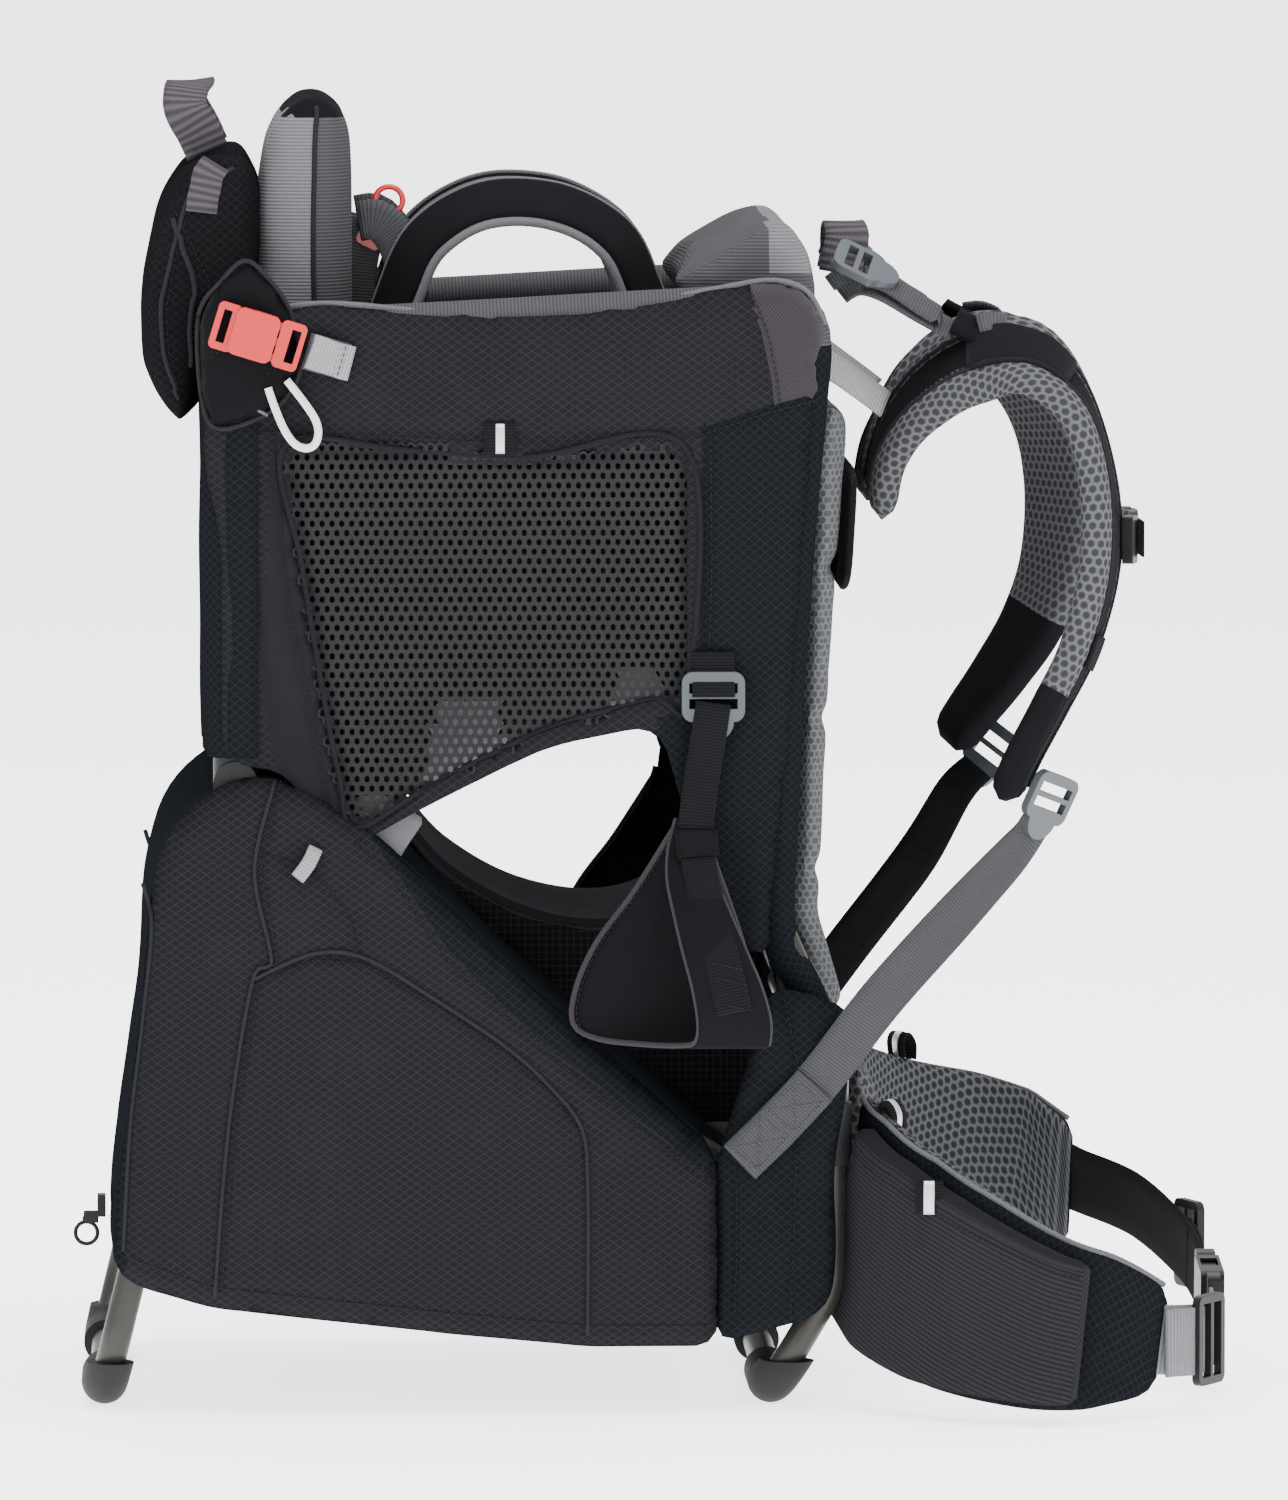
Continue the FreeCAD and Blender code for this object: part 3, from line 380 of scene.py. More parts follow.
def inflate(obj, cap, voxel=6.0, slot_of=None):
    """Swells a closed form with the cloth solver, no point moving further than cap."""
    materials = list(obj.data.materials)
    remesh = obj.modifiers.new("voxels", "REMESH")
    remesh.mode = "VOXEL"
    remesh.voxel_size = voxel * MM
    bake_modifiers(obj)
    rest = np.array([v.co for v in obj.data.vertices])
    cloth = obj.modifiers.new("cloth", "CLOTH")
    cloth.settings.use_pressure = True
    cloth.settings.uniform_pressure_force = PRESSURE
    cloth.settings.effector_weights.gravity = 0
    scene = bpy.context.scene
    for step in range(1, 21):
        scene.frame_set(step)
    graph = bpy.context.evaluated_depsgraph_get()
    swollen = np.array([v.co for v in obj.evaluated_get(graph).data.vertices])
    obj.modifiers.clear()
    scene.frame_set(1)
    move = swollen - rest
    size = np.linalg.norm(move, axis=1)[:, None]
    move *= np.minimum(1, cap * MM / np.maximum(size, 1e-9))
    obj.data.vertices.foreach_set("co", (rest + move).ravel())
    relax = obj.modifiers.new("relax", "SMOOTH")
    relax.iterations = 4
    bake_modifiers(obj)
    obj.data.materials.clear()
    for material in materials:
        obj.data.materials.append(material)
    obj.data.polygons.foreach_set("use_smooth", [True] * len(obj.data.polygons))
    if slot_of is not None:
        for face in obj.data.polygons:
            face.material_index = slot_of(Vector(face.center) / MM, face.normal)
    box_uv(obj)
    return obj


def put(obj, body, slot, *nodes):
    """Rides a piece on a body and hides the CAD nodes that it stands for. slot is not used."""
    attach(obj, body)
    if nodes:
        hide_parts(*nodes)
    return obj


def bend(obj, bodies, start, end, slot, *nodes):
    """Bakes a piece's place into its mesh and hides the CAD nodes that it stands for; the piece rides on no body and
    does not bend. bodies and slot are not used, and start and end have no effect.
    """
    [c * MM for c in start]
    [c * MM for c in end]
    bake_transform(obj)
    if nodes:
        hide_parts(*nodes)
    return obj


# ---- materials -----------------------------------------------------------------------------------
CLOTH_GLOSS = 0.0              # fibres shade each other, so cloth has no mirror part


def shade(colour, factor):
    """A colour made darker or lighter."""
    return tuple(min(c * factor, 1) for c in colour)


class Nodes:
    """A short way to wire up one material."""

    def __init__(self, name):
        self.material = bpy.data.materials.new(name)
        self.material.use_nodes = True
        self.tree = self.material.node_tree
        self.shader = self.tree.nodes["Principled BSDF"]

    def add(self, kind, inputs=None, **settings):
        node = self.tree.nodes.new("ShaderNode" + kind)
        for key, value in settings.items():
            setattr(node, key, value)
        for key, value in (inputs or {}).items():
            self.feed(node.inputs[key], value)
        return node

    def feed(self, socket, value):
        if isinstance(value, bpy.types.NodeSocket):
            self.tree.links.new(value, socket)
        else:
            socket.default_value = value

    def math(self, operation, a, b=0.0, c=0.0):
        return self.add("Math", {0: a, 1: b, 2: c}, operation=operation).outputs[0]

    def vector(self, operation, a, b=(0, 0, 0)):
        node = self.add("VectorMath", {0: a, 1: b}, operation=operation)
        return node.outputs["Value" if operation in ("LENGTH", "DOT_PRODUCT") else "Vector"]

    def cloth_uv(self):
        return self.add("UVMap", uv_map="cloth").outputs["UV"]

    def place(self):
        return self.add("TexCoord").outputs["Object"]

    def noise(self, scale, detail=3.0, vector=None, roughness=0.55):
        node = self.add("TexNoise", {"Scale": scale, "Detail": detail, "Roughness": roughness})
        self.feed(node.inputs["Vector"], vector if vector is not None else self.place())
        return node.outputs["Fac"]

    def across(self, uv, angle):
        """How far along a direction at an angle to the cloth's length, in metres."""
        turned = self.add("Mapping", {"Vector": uv, "Rotation": (0, 0, math.radians(angle))}).outputs[0]
        return self.add("SeparateXYZ", {0: turned}).outputs[0]

    def stripes(self, uv, angle, pitch, width):
        """1 on lines at an angle across the cloth, 0 between them. pitch and width are in millimetres."""
        share = self.math("FRACT", self.math("MULTIPLY", self.across(uv, angle), 1 / (pitch * MM)))
        gap = self.math("ABSOLUTE", self.math("SUBTRACT", share, 0.5))
        edge = 0.5 - width / pitch / 2
        soft = 0.35 * width / pitch
        return self.add("MapRange", {"Value": gap, "From Min": edge - soft,
                                     "From Max": edge + 0.001}).outputs[0]

    def ribs(self, uv, angle, pitch):
        """A rounded wave across the cloth, from 0 to 1."""
        turns = self.math("MULTIPLY", self.across(uv, angle), 2 * math.pi / (pitch * MM))
        return self.math("MULTIPLY_ADD", self.math("SINE", turns), 0.5, 0.5)

    def mix(self, factor, a, b):
        node = self.add("Mix", data_type="RGBA")
        self.feed(node.inputs[0], factor)
        for socket, value in ((node.inputs[6], a), (node.inputs[7], b)):
            self.feed(socket, value if isinstance(value, bpy.types.NodeSocket) else (*value, 1))
        return node.outputs[2]

    def tint(self, colour, factor, low, high):
        """A colour multiplied by a grey that a factor moves from low to high."""
        grey = self.mix(factor, (low,) * 3, (high,) * 3)
        node = self.add("Mix", {0: 1.0}, data_type="RGBA", blend_type="MULTIPLY")
        self.feed(node.inputs[6], colour)
        self.feed(node.inputs[7], grey)
        return node.outputs[2]

    def bump(self, height, strength, distance_mm, under=None):
        node = self.add("Bump", {"Height": height, "Strength": strength, "Distance": distance_mm * MM})
        if under is not None:
            self.feed(node.inputs["Normal"], under)
        return node.outputs[0]

    def finish(self, colour, roughness, normal=None, **constants):
        self.feed(self.shader.inputs["Base Color"], colour)
        self.feed(self.shader.inputs["Roughness"], roughness)
        if normal is not None:
            self.feed(self.shader.inputs["Normal"], normal)
        for key, value in constants.items():
            self.shader.inputs[key.replace("_", " ")].default_value = value
        return self.material


def creases(n, size=34.0, strength=0.5, depth=2.0):
    """Soft creases of handled cloth, as a normal."""
    warp = n.noise(1000 / (size * 2.2), 2)
    place = n.add("Mapping", {"Vector": n.place(), "Scale": (1.0, 1.0, 0.55)}).outputs[0]
    bent = n.vector("ADD", place, n.add("CombineXYZ", {0: n.math("MULTIPLY", warp, 0.05),
                                                        2: n.math("MULTIPLY", warp, 0.03)}).outputs[0])
    return n.bump(n.noise(1000 / size, 2.5, bent, 0.45), strength, depth)


def ripstop(name, colour, line, angles, shine=0.46, wrinkle=0.55):
    """Nylon with a grid of thicker threads."""
    n = Nodes(name)
    uv = n.cloth_uv()
    grid = n.math("MAXIMUM", *[n.stripes(uv, angle, 3.8, 0.55) for angle in angles])
    weave = n.math("ADD", *[n.ribs(uv, angle, 0.62) for angle in angles])
    base = n.mix(n.noise(1900, 2, uv), shade(colour, 0.72), shade(colour, 1.3))
    coloured = n.mix(n.math("MULTIPLY", grid, 0.8), n.tint(base, n.noise(26, 4), 0.86, 1.12), line)
    folds = creases(n, 30.0, wrinkle, 2.4)
    fine = n.bump(n.math("ADD", grid, n.math("MULTIPLY", weave, 0.22)), 0.45, 0.25, folds)
    rough = n.math("MULTIPLY_ADD", n.noise(60, 3), 0.16, shine - 0.08)
    return n.finish(coloured, rough, fine, Sheen_Roughness=0.5, Specular_IOR_Level=CLOTH_GLOSS)


def hex_mesh(name, colour, hollow, pitch=5.8, fold=0.3):
    """Spacer mesh: raised threads round six-sided cells."""
    n = Nodes(name)
    flat = n.add("Mapping", {"Vector": n.cloth_uv(), "Scale": (1 / (pitch * MM),) * 3}).outputs[0]
    size = (1.0, math.sqrt(3), 1.0)
    half = tuple(s / 2 for s in size)
    nearest = []
    for grid in (flat, n.vector("ADD", flat, half)):
        cell = n.add("VectorMath", {0: grid, 1: size, 2: (0, 0, 0)}, operation="WRAP").outputs[0]
        nearest.append(n.vector("MULTIPLY", n.vector("SUBTRACT", cell, half), (1, 1, 0)))
    one, two = nearest
    nearer = n.math("LESS_THAN", n.vector("LENGTH", one), n.vector("LENGTH", two))
    cell = n.add("Mix", {0: nearer, 4: two, 5: one}, data_type="VECTOR")
    local = n.vector("ABSOLUTE", cell.outputs[1])
    reach = n.math("MAXIMUM", n.vector("DOT_PRODUCT", local, (0.5, 0.8660254, 0)),
                   n.vector("DOT_PRODUCT", local, (1, 0, 0)))
    thread = n.add("MapRange", {"Value": reach, "From Min": 0.244, "From Max": 0.452}).outputs[0]
    yarn = n.noise(1500, 2, n.cloth_uv())
    base = n.tint(n.mix(thread, hollow, colour), yarn, 0.8, 1.15)
    height = n.math("ADD", thread, n.math("MULTIPLY", yarn, 0.25))
    normal = n.bump(height, 0.8, 0.7, creases(n, 40.0, fold, 2.5))
    return n.finish(base, 0.82, normal, Sheen_Weight=0.02, Sheen_Roughness=0.45,
                    Specular_IOR_Level=CLOTH_GLOSS)


def ribbed(name, colour, pitch, angle=90.0, dark=0.55, depth=0.35, roughness=0.8):
    """A ribbed or finely corded cloth."""
    n = Nodes(name)
    uv = n.cloth_uv()
    rib = n.ribs(uv, angle, pitch)
    cross = n.ribs(uv, angle + 90, pitch * 0.55)
    yarn = n.noise(1400, 2, uv)
    base = n.mix(n.math("MULTIPLY_ADD", yarn, 0.3, n.math("MULTIPLY", rib, 0.7)),
                 shade(colour, dark), shade(colour, 1.12))
    folds = creases(n, 38.0, 0.35, 2.2)
    height = n.math("MULTIPLY_ADD", cross, 0.3, rib)
    return n.finish(base, n.math("MULTIPLY_ADD", yarn, 0.1, roughness - 0.05), n.bump(height, 0.7, depth,
                                                                                      folds),
                    Sheen_Weight=0.02, Sheen_Roughness=0.4, Specular_IOR_Level=CLOTH_GLOSS)


def woven(name, colour, rib=1.7):
    """Webbing: cross ribs with fine warp threads along it."""
    n = Nodes(name)
    uv = n.cloth_uv()
    across = n.ribs(uv, 90, rib)
    warp = n.ribs(uv, 0, 0.9)
    yarn = n.noise(1300, 3, uv)
    base = n.mix(n.math("MULTIPLY_ADD", yarn, 0.35, n.math("MULTIPLY", across, 0.65)),
                 shade(colour, 0.62), shade(colour, 1.18))
    normal = n.bump(n.math("MULTIPLY_ADD", warp, 0.4, across), 0.8, 0.3)
    return n.finish(n.tint(base, n.noise(34, 4), 0.9, 1.1), 0.62, normal, Sheen_Weight=0.03,
                    Sheen_Roughness=0.4, Specular_IOR_Level=CLOTH_GLOSS)


def twill(name, colour):
    """Twill tape and patches: fine slanted ribs."""
    n = Nodes(name)
    uv = n.cloth_uv()
    rib = n.ribs(uv, 35.0, 1.5)
    yarn = n.noise(1500, 2, uv)
    base = n.mix(n.math("MULTIPLY_ADD", yarn, 0.4, n.math("MULTIPLY", rib, 0.6)),
                 shade(colour, 0.55), shade(colour, 1.25))
    return n.finish(base, 0.7, n.bump(rib, 0.7, 0.28, creases(n, 30.0, 0.3, 1.5)), Sheen_Weight=0.05,
                    Specular_IOR_Level=CLOTH_GLOSS)


def moulded(name, colour, roughness, grain=0.25, coat=0.0, wear=0.1, gloss=0.3):
    """Moulded plastic with a fine grain, duller in soft patches and paler where it's handled."""
    n = Nodes(name)
    patches = n.noise(70, 4)
    speck = n.noise(900, 2)
    base = n.mix(patches, shade(colour, 1 - wear), tuple(c * (1 + wear) + 0.003 for c in colour))
    rough = n.math("MULTIPLY_ADD", patches, 0.14, roughness - 0.07)
    edge = n.add("Bevel", {"Radius": 0.6 * MM}, samples=4).outputs[0]
    return n.finish(base, rough, n.bump(speck, grain, 0.12, edge), Coat_Weight=coat, Coat_Roughness=0.12,
                    Specular_IOR_Level=gloss)


def painted(name, colour):
    """Satin painted tube: a slight orange peel and fine scuffs."""
    n = Nodes(name)
    peel = n.noise(420, 2)
    scuff = n.noise(55, 6, roughness=0.7)
    base = n.mix(scuff, shade(colour, 0.85), shade(colour, 1.18))
    rough = n.math("MULTIPLY_ADD", scuff, 0.22, 0.3)
    return n.finish(base, rough, n.bump(peel, 0.14, 0.1), Metallic=0.2, Coat_Weight=0.1, Coat_Roughness=0.3,
                    Specular_IOR_Level=0.25)


def rubbery(name, colour):
    """Dusty rubber."""
    n = Nodes(name)
    dust = n.noise(110, 5)
    base = n.mix(dust, shade(colour, 0.7), shade(colour, 1.9))
    return n.finish(base, n.math("MULTIPLY_ADD", dust, 0.2, 0.6), n.bump(n.noise(700, 3), 0.3, 0.2),
                    Specular_IOR_Level=0.15)


def metal(name, colour, roughness):
    """Metal with a brushed grain."""
    n = Nodes(name)
    brushed = n.add("Mapping", {"Vector": n.place(), "Scale": (1, 12, 1)}).outputs[0]
    grain = n.noise(300, 3, brushed)
    base = n.mix(grain, shade(colour, 0.85), shade(colour, 1.08))
    return n.finish(base, n.math("MULTIPLY_ADD", grain, 0.15, roughness), n.bump(grain, 0.1, 0.1),
                    Metallic=1.0)


def thread(name, colour):
    """Twisted sewing thread."""
    n = Nodes(name)
    twist = n.noise(2500, 2)
    return n.finish(n.mix(twist, shade(colour, 0.7), colour), 0.55, n.bump(twist, 0.5, 0.15),
                    Specular_IOR_Level=CLOTH_GLOSS)


def braided(name, colour):
    """Braided cord and piping: crossed fine strands."""
    n = Nodes(name)
    uv = n.cloth_uv()
    strands = n.math("ADD", n.ribs(uv, 42, 1.5), n.ribs(uv, -42, 1.5))
    base = n.mix(n.math("MULTIPLY", strands, 0.5), shade(colour, 0.72), colour)
    return n.finish(base, 0.7, n.bump(strands, 0.6, 0.25), Specular_IOR_Level=CLOTH_GLOSS)


def nap(name, colour, depth=0.35, fold=0.4, roughness=0.9):
    """Smooth or brushed cloth with no visible grid."""
    n = Nodes(name)
    pile = n.noise(1100, 3)
    base = n.mix(pile, shade(colour, 0.72), shade(colour, 1.2))
    normal = n.bump(pile, 0.5, depth, creases(n, 32.0, fold, 2.2))
    return n.finish(n.tint(base, n.noise(30, 4), 0.88, 1.12), roughness, normal, Sheen_Weight=0.02,
                    Sheen_Roughness=0.35, Specular_IOR_Level=CLOTH_GLOSS)


SHELL = ripstop("shell_ripstop", (0.0105, 0.0105, 0.0124), (0.018, 0.018, 0.021), (55, -55))
SHELL_BLACK = ripstop("black_ripstop", (0.0062, 0.0064, 0.0072), (0.0105, 0.0108, 0.012), (50, -50))
SHELL_DARK = ripstop("shell_side", (0.0062, 0.0074, 0.0088), (0.0115, 0.013, 0.015), (50, -50), shine=0.5)
LINING = ripstop("inner_ripstop", (0.006, 0.0062, 0.007), (0.014, 0.0145, 0.016), (0, 90), wrinkle=0.6)
BAND = nap("binding", (0.013, 0.013, 0.015), roughness=0.75, fold=0.25)
PURPLE = twill("purple_twill", (0.034, 0.030, 0.035))
RIM_PIPING = braided("grey_piping", (0.11, 0.11, 0.118))
DARK_PIPING = braided("dark_piping", (0.022, 0.022, 0.025))
SADDLE_CLOTH = nap("saddle_cloth", (0.030, 0.031, 0.034), roughness=0.62, fold=0.5)
HEX_LIGHT = hex_mesh("light_spacer_mesh", (0.100, 0.102, 0.108), (0.030, 0.031, 0.034))
# A darker copy of the light spacer mesh for the far shoulder strap: painted shade.
HEX_SHADED = hex_mesh("shaded_spacer_mesh", (0.085, 0.087, 0.093), (0.028, 0.029, 0.032))
HEX_DARK = hex_mesh("dark_spacer_mesh", (0.085, 0.088, 0.094), (0.020, 0.021, 0.024), pitch=5.7)
RIB_LIGHT = ribbed("ribbed_grey", (0.15, 0.15, 0.16), 1.9)
RIB_MID = ribbed("ribbed_mid_grey", (0.062, 0.062, 0.067), 1.9)
RIB_BLACK = ribbed("ribbed_black", (0.0105, 0.0105, 0.0125), 2.0, angle=0, roughness=0.72)
RIB_POCKET = ribbed("ribbed_pocket", (0.022, 0.022, 0.025), 2.6, angle=0, dark=0.42, roughness=0.72,
                    depth=0.5)
SMOOTH_BLACK = nap("smooth_black", (0.0078, 0.0078, 0.009), roughness=0.6, fold=0.3)
BACK_MESH = hex_mesh("back_mesh", (0.12, 0.125, 0.131), (0.06, 0.062, 0.066), pitch=4.2, fold=0.8)
GREY_LINING = nap("grey_lining", (0.11, 0.112, 0.118), roughness=0.85)
NET = nap("window_net", (0.022, 0.022, 0.0235), depth=0.1, fold=0.0, roughness=0.7)
PALE_BELT = woven("belt_webbing", (0.17, 0.172, 0.182), rib=2.0)
GREY_WEB = woven("grey_webbing", (0.055, 0.056, 0.061))
PALE_WEB = woven("pale_webbing", (0.26, 0.262, 0.275))
BLACK_WEB = woven("black_webbing", (0.0105, 0.0105, 0.012))
PURPLE_WEB = ribbed("loop_webbing", (0.075, 0.067, 0.077), 4.2, angle=90, dark=0.4, depth=0.7)
SILVER = metal("reflective_tape", (0.62, 0.63, 0.65), 0.45)
STITCH = thread("stitching", (0.019, 0.019, 0.021))
STITCH_PALE = thread("pale_stitching", (0.075, 0.075, 0.08))
WHITE_CORD = braided("white_cord", (0.80, 0.80, 0.79))
RED = moulded("red_plastic", (0.50, 0.006, 0.009), 0.24, 0.08, coat=0.4, wear=0.05)
BLUE_GREY = moulded("buckle_grey", (0.055, 0.064, 0.074), 0.4)
BLACK_PLASTIC = moulded("black_plastic", (0.0075, 0.0075, 0.0085), 0.42, gloss=0.16)
HUB_PLASTIC = moulded("hub_plastic", (0.012, 0.012, 0.0135), 0.46, 0.4, gloss=0.16)
TUBE_PAINT = painted("tube_paint", (0.026, 0.025, 0.022))
RUBBER = rubbery("rubber", (0.010, 0.010, 0.011))
STEEL = metal("steel", (0.55, 0.55, 0.56), 0.3)
SHEET_PLASTIC = moulded("sheet_plastic", (0.03, 0.03, 0.033), 0.5)


# ---- stage and light -----------------------------------------------------------------------------
FLOOR_REACH = 60000          # half the floor's width, in mm


def make_stage():
    """A pale flat floor that fills the view from every side."""
    n = Nodes("floor")
    tone = n.mix(n.noise(3, 3), (0.90, 0.90, 0.905), (0.93, 0.93, 0.93))
    pale = n.finish(tone, 0.85, n.bump(n.noise(140, 3), 0.03, 0.3), Emission_Strength=2.5)
    r = FLOOR_REACH
    floor = mesh_object("floor", [(-r, -r, 0), (r, -r, 0), (r, r, 0), (-r, r, 0)], [(0, 1, 2, 3)], [pale])


def area_light(name, place, target, size, watts):
    """A soft box; its place, target and size are in metres."""
    data = bpy.data.lights.new(name, "AREA")
    data.shape = "RECTANGLE"
    data.size, data.size_y = size
    data.energy = watts
    lamp = bpy.data.objects.new(name, data)
    lamp.location = place
    lamp.rotation_euler = (Vector(target) - Vector(place)).to_track_quat("-Z", "Y").to_euler()
    bpy.context.scene.collection.objects.link(lamp)


def make_lights():
    """A soft white studio: big boxes overhead, in front and behind, and a bright surround."""
    area_light("overhead", (0.3, -0.4, 3.4), (0, 0, 0.3), (3.2, 3.2), 210)
    area_light("front_left", (-2.3, -3.2, 1.7), (0, 0, 0.35), (1.8, 2.4), 44)
    area_light("front_right", (2.9, -2.2, 1.3), (0, 0, 0.35), (1.6, 2.4), 34)
    area_light("back", (-0.6, 3.6, 3.0), (0, 0, 0.35), (2.6, 1.6), 60)
    world = bpy.context.scene.world or bpy.data.worlds.new("world")
    bpy.context.scene.world = world
    world.use_nodes = True
    sky = world.node_tree.nodes["Background"]
    sky.inputs[0].default_value = (1, 1, 1, 1)
    sky.inputs[1].default_value = 1.0


make_stage()
make_lights()

CAD_MATERIALS = { TUBE_PAINT: ["front_foot_tube", "frame_side_left", "frame_side_right", "frame_struts",
                               "kickstand_tube"], HUB_PLASTIC: ["pivot_hubs", "tube_sleeves"],
                 BLACK_PLASTIC: ["lock_button_left", "lock_button_right", "sternum_sliders",
                                 "sternum_buckle_female", "sternum_buckle_male", "hip_belt_hardware",
                                 "hip_buckle_male", "chest_buckle_female", "chest_buckle_male",
                                 "zip_slider", "zip_ring"], STEEL: ["pivot_pins"],
                 RUBBER: ["front_foot_pads", "kickstand_foot_pads", "lock_springs"],
                 SHEET_PLASTIC: ["back_plate"], RED: ["side_clip_females", "side_clip_male_left",
                                                      "side_clip_male_right", "harness_clip"],
                 BLUE_GREY: ["strap_ladder_locks", "webbing_adjusters"], }
for finish, names in CAD_MATERIALS.items():
    for node in names:
        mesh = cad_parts[node].data
        mesh.materials.clear()
        mesh.materials.append(finish)


# ---- building blocks for soft goods --------------------------------------------------------------
def prism(name, outline, half, materials, bevel):
    """A closed form with an X-Z outline and rounded edges, half as wide each side of the middle."""
    ring = resample([*outline, outline[0]], 7.0, True)
    n = len(ring)
    verts = [(x, y, z) for y in (-half, half) for x, z in ring]
    faces = [(i, (i + 1) % n, n + (i + 1) % n, n + i) for i in range(n)]
    faces += [tuple(range(n - 1, -1, -1)), tuple(range(n, 2 * n))]
    obj = mesh_object(name, verts, faces, materials)
    fix = bmesh.new()
    fix.from_mesh(obj.data)
    bmesh.ops.recalc_face_normals(fix, faces=fix.faces)
    fix.to_mesh(obj.data)
    fix.free()
    soften = obj.modifiers.new("edges", "BEVEL")
    soften.width = bevel * MM
    soften.segments = 4
    soften.limit_method = "ANGLE"
    soften.angle_limit = math.radians(50)
    cut = obj.modifiers.new("voxels", "REMESH")
    cut.mode = "VOXEL"
    cut.voxel_size = 5 * MM
    return bake_modifiers(obj)


def reshape(obj, move):
    """Moves a mesh's points, in millimetres, with a function on an N x 3 array."""
    flat = np.empty(len(obj.data.vertices) * 3)
    obj.data.vertices.foreach_get("co", flat)
    moved = move(flat.reshape(-1, 3) / MM)
    obj.data.vertices.foreach_set("co", (moved * MM).ravel())
    obj.data.update()
    return obj


def pad(name, path, across, widths, thick, materials, pick, step=6.0, round_end=14.0, square=0.42, crown=1.0):
    """A long padded strap with rounded ends.

    pick(u, outer, t) gives the material slot: u is from -1 to 1 across it, outer says on which face, and t is
    from 0 to 1 along it. square sets how boxy its edges are, crown how domed its faces.
    """
    path = spline(path, step)
    count = len(path)
    across = np.array(across, float)
    if across.ndim == 2:
        across = spread(across, count)
    _, side, normal = frames(path, across)
    width = spread(widths, count)
    along = np.concatenate([[0], np.cumsum(np.linalg.norm(np.diff(path, axis=0), axis=1))])
    k = 36
    turn = np.linspace(0, 2 * math.pi, k, endpoint=False) + math.pi / k
    wide = np.sign(np.cos(turn)) * np.abs(np.cos(turn)) ** square
    deep = np.sign(np.sin(turn)) * np.abs(np.sin(turn)) ** (0.75 * crown)
    rings = []
    for i in range(count):
        near = min(along[i], along[-1] - along[i])
        tuck = math.sqrt(max(1 - (1 - min(near / round_end, 1)) ** 2, 0.02))
        inset = (1 - tuck) * round_end * 0.5
        rings.append([path[i] + side[i] * w * (width[i] / 2 - inset) + normal[i] * d * thick / 2 * tuck
                      for w, d in zip(wide, deep)])
    obj = loft(name, rings, materials)
    between = turn + math.pi / k
    places = [(math.copysign(abs(math.cos(t)) ** square, math.cos(t)), math.sin(t) > 0) for t in between]
    for face in list(obj.data.polygons)[:k * (count - 1)]:
        u, outer = places[face.index % k]
        face.material_index = pick(u, outer, (face.index // k + 0.5) / (count - 1))
    return obj


def hemmed(limit):
    """A pick for pad: its second material on the edges past a limit."""
    return lambda u, outer, t: int(abs(u) > limit)


def surface_line(path, across, widths, thick, u, lift, outer=1, square=0.42):
    """A line along a pad at u across it, lifted off its face."""
    path = spline(path, 6.0)
    count = len(path)
    across = np.array(across, float)
    if across.ndim == 2:
        across = spread(across, count)
    _, side, normal = frames(path, across)
    turn = math.acos(min(abs(u), 1.0) ** (1 / square))
    height = math.sin(turn) ** 0.75 * thick / 2 + lift
    half = spread(widths, count) / 2
    return path + side * (u * half)[:, None] + normal * (outer * height)


def hug(obj, line, lift=0.0):
    """The line laid on the nearest points of a mesh, lifted off it."""
    mesh = obj.data
    tree = BVHTree.FromPolygons([v.co for v in mesh.vertices], [tuple(f.vertices) for f in mesh.polygons])
    laid = []
    for point in spline(line, 4.0):
        spot, normal, _, _ = tree.find_nearest(Vector(point) * MM)
        laid.append(np.array(spot / MM + normal * lift))
    return np.array(laid)


def seam_grooves(flat, seams, depth=1.6, width=2.4):
    """How far the cloth is pulled in along its seams."""
    pull = np.zeros(len(flat))
    for seam in seams:
        pull = np.maximum(pull, depth * np.exp(-(distance(flat, seam) / width) ** 2))
    return pull


def rolled(gap, radius):
    """How far a cloth's edge is turned in, at a distance from that edge."""
    inner = radius - np.minimum(gap, radius)
    return radius - np.sqrt(np.maximum(radius ** 2 - inner ** 2, 0))


def on_cloth(place, line, lift, side):
    """A 3-D line lying on a cut of cloth, lifted off it."""
    spots = place(resample(line, 3.0))
    spots[:, 1] += side * lift
    return spots


def upright(flat, y):
    """Stands a cut of cloth up along X and Z, at one Y or at one for each point."""
    return np.stack([flat[:, 0], np.broadcast_to(y, len(flat)), flat[:, 1]], 1)


def shifted(line, dx, dz):
    return [(x + dx, z + dz) for x, z in line]


def piping(name, line, radius, material=DARK_PIPING, body="carrier", slot="strap_cloth", sides=8, step=4.0):
    """A bead of piping along a line."""
    put(cordage(name, line, radius, material, step, sides), body, slot)


def sewing(name, rows, body="carrier", material=STITCH, pitch=3.4, length=2.3):
    """Rows of stitches."""
    put(stitches(name, rows, material, pitch, length), body, "strap_cloth")


def strap(name, points, across, width, material, thick, body="carrier", slot="grey_webbing", step=3.5):
    """A short length of webbing that hides no CAD node."""
    put(webbing(name, points, across, width, material, thick, step), body, slot)


def strip_sheet(points):
    """Lays a spline through a length of webbing's points and keeps nothing."""
    path = spline(points, 3.0)


# ---- cockpit -------------------------------------------------------------------------------------
RIM = [(-241, 545), (-239, 572), (-223, 591), (-179, 600), (-100, 594), (-25, 597), (30, 607), (63, 612),
       (82, 606), (92, 588), (86, 525), (79, 431), (74, 360), (67, 299), (62, 244)]
COCKPIT_UNDER = [(38, 261), (24, 299), (2, 374), (-58, 362), (-119, 332), (-166, 307)]
COCKPIT_BACK = [(-185, 318), (-196, 349), (-233, 353), (-233, 415), (-233, 475), (-243, 515)]
COCKPIT = RIM + COCKPIT_UNDER + COCKPIT_BACK
WINDOW = [(-199, 525), (-135, 522), (-69, 518), (17, 522), (17, 388), (-2, 387), (-59, 371), (-121, 341),
          (-162, 318), (-170, 345), (-178, 387), (-190, 460)]
BAND_SEAM = [(-232, 536), (-199, 535), (-135, 532), (-69, 528), (24, 533), (60, 545), (88, 552)]
COLUMN_SEAM = [(26, 533), (27, 460), (25, 392), (14, 340)]
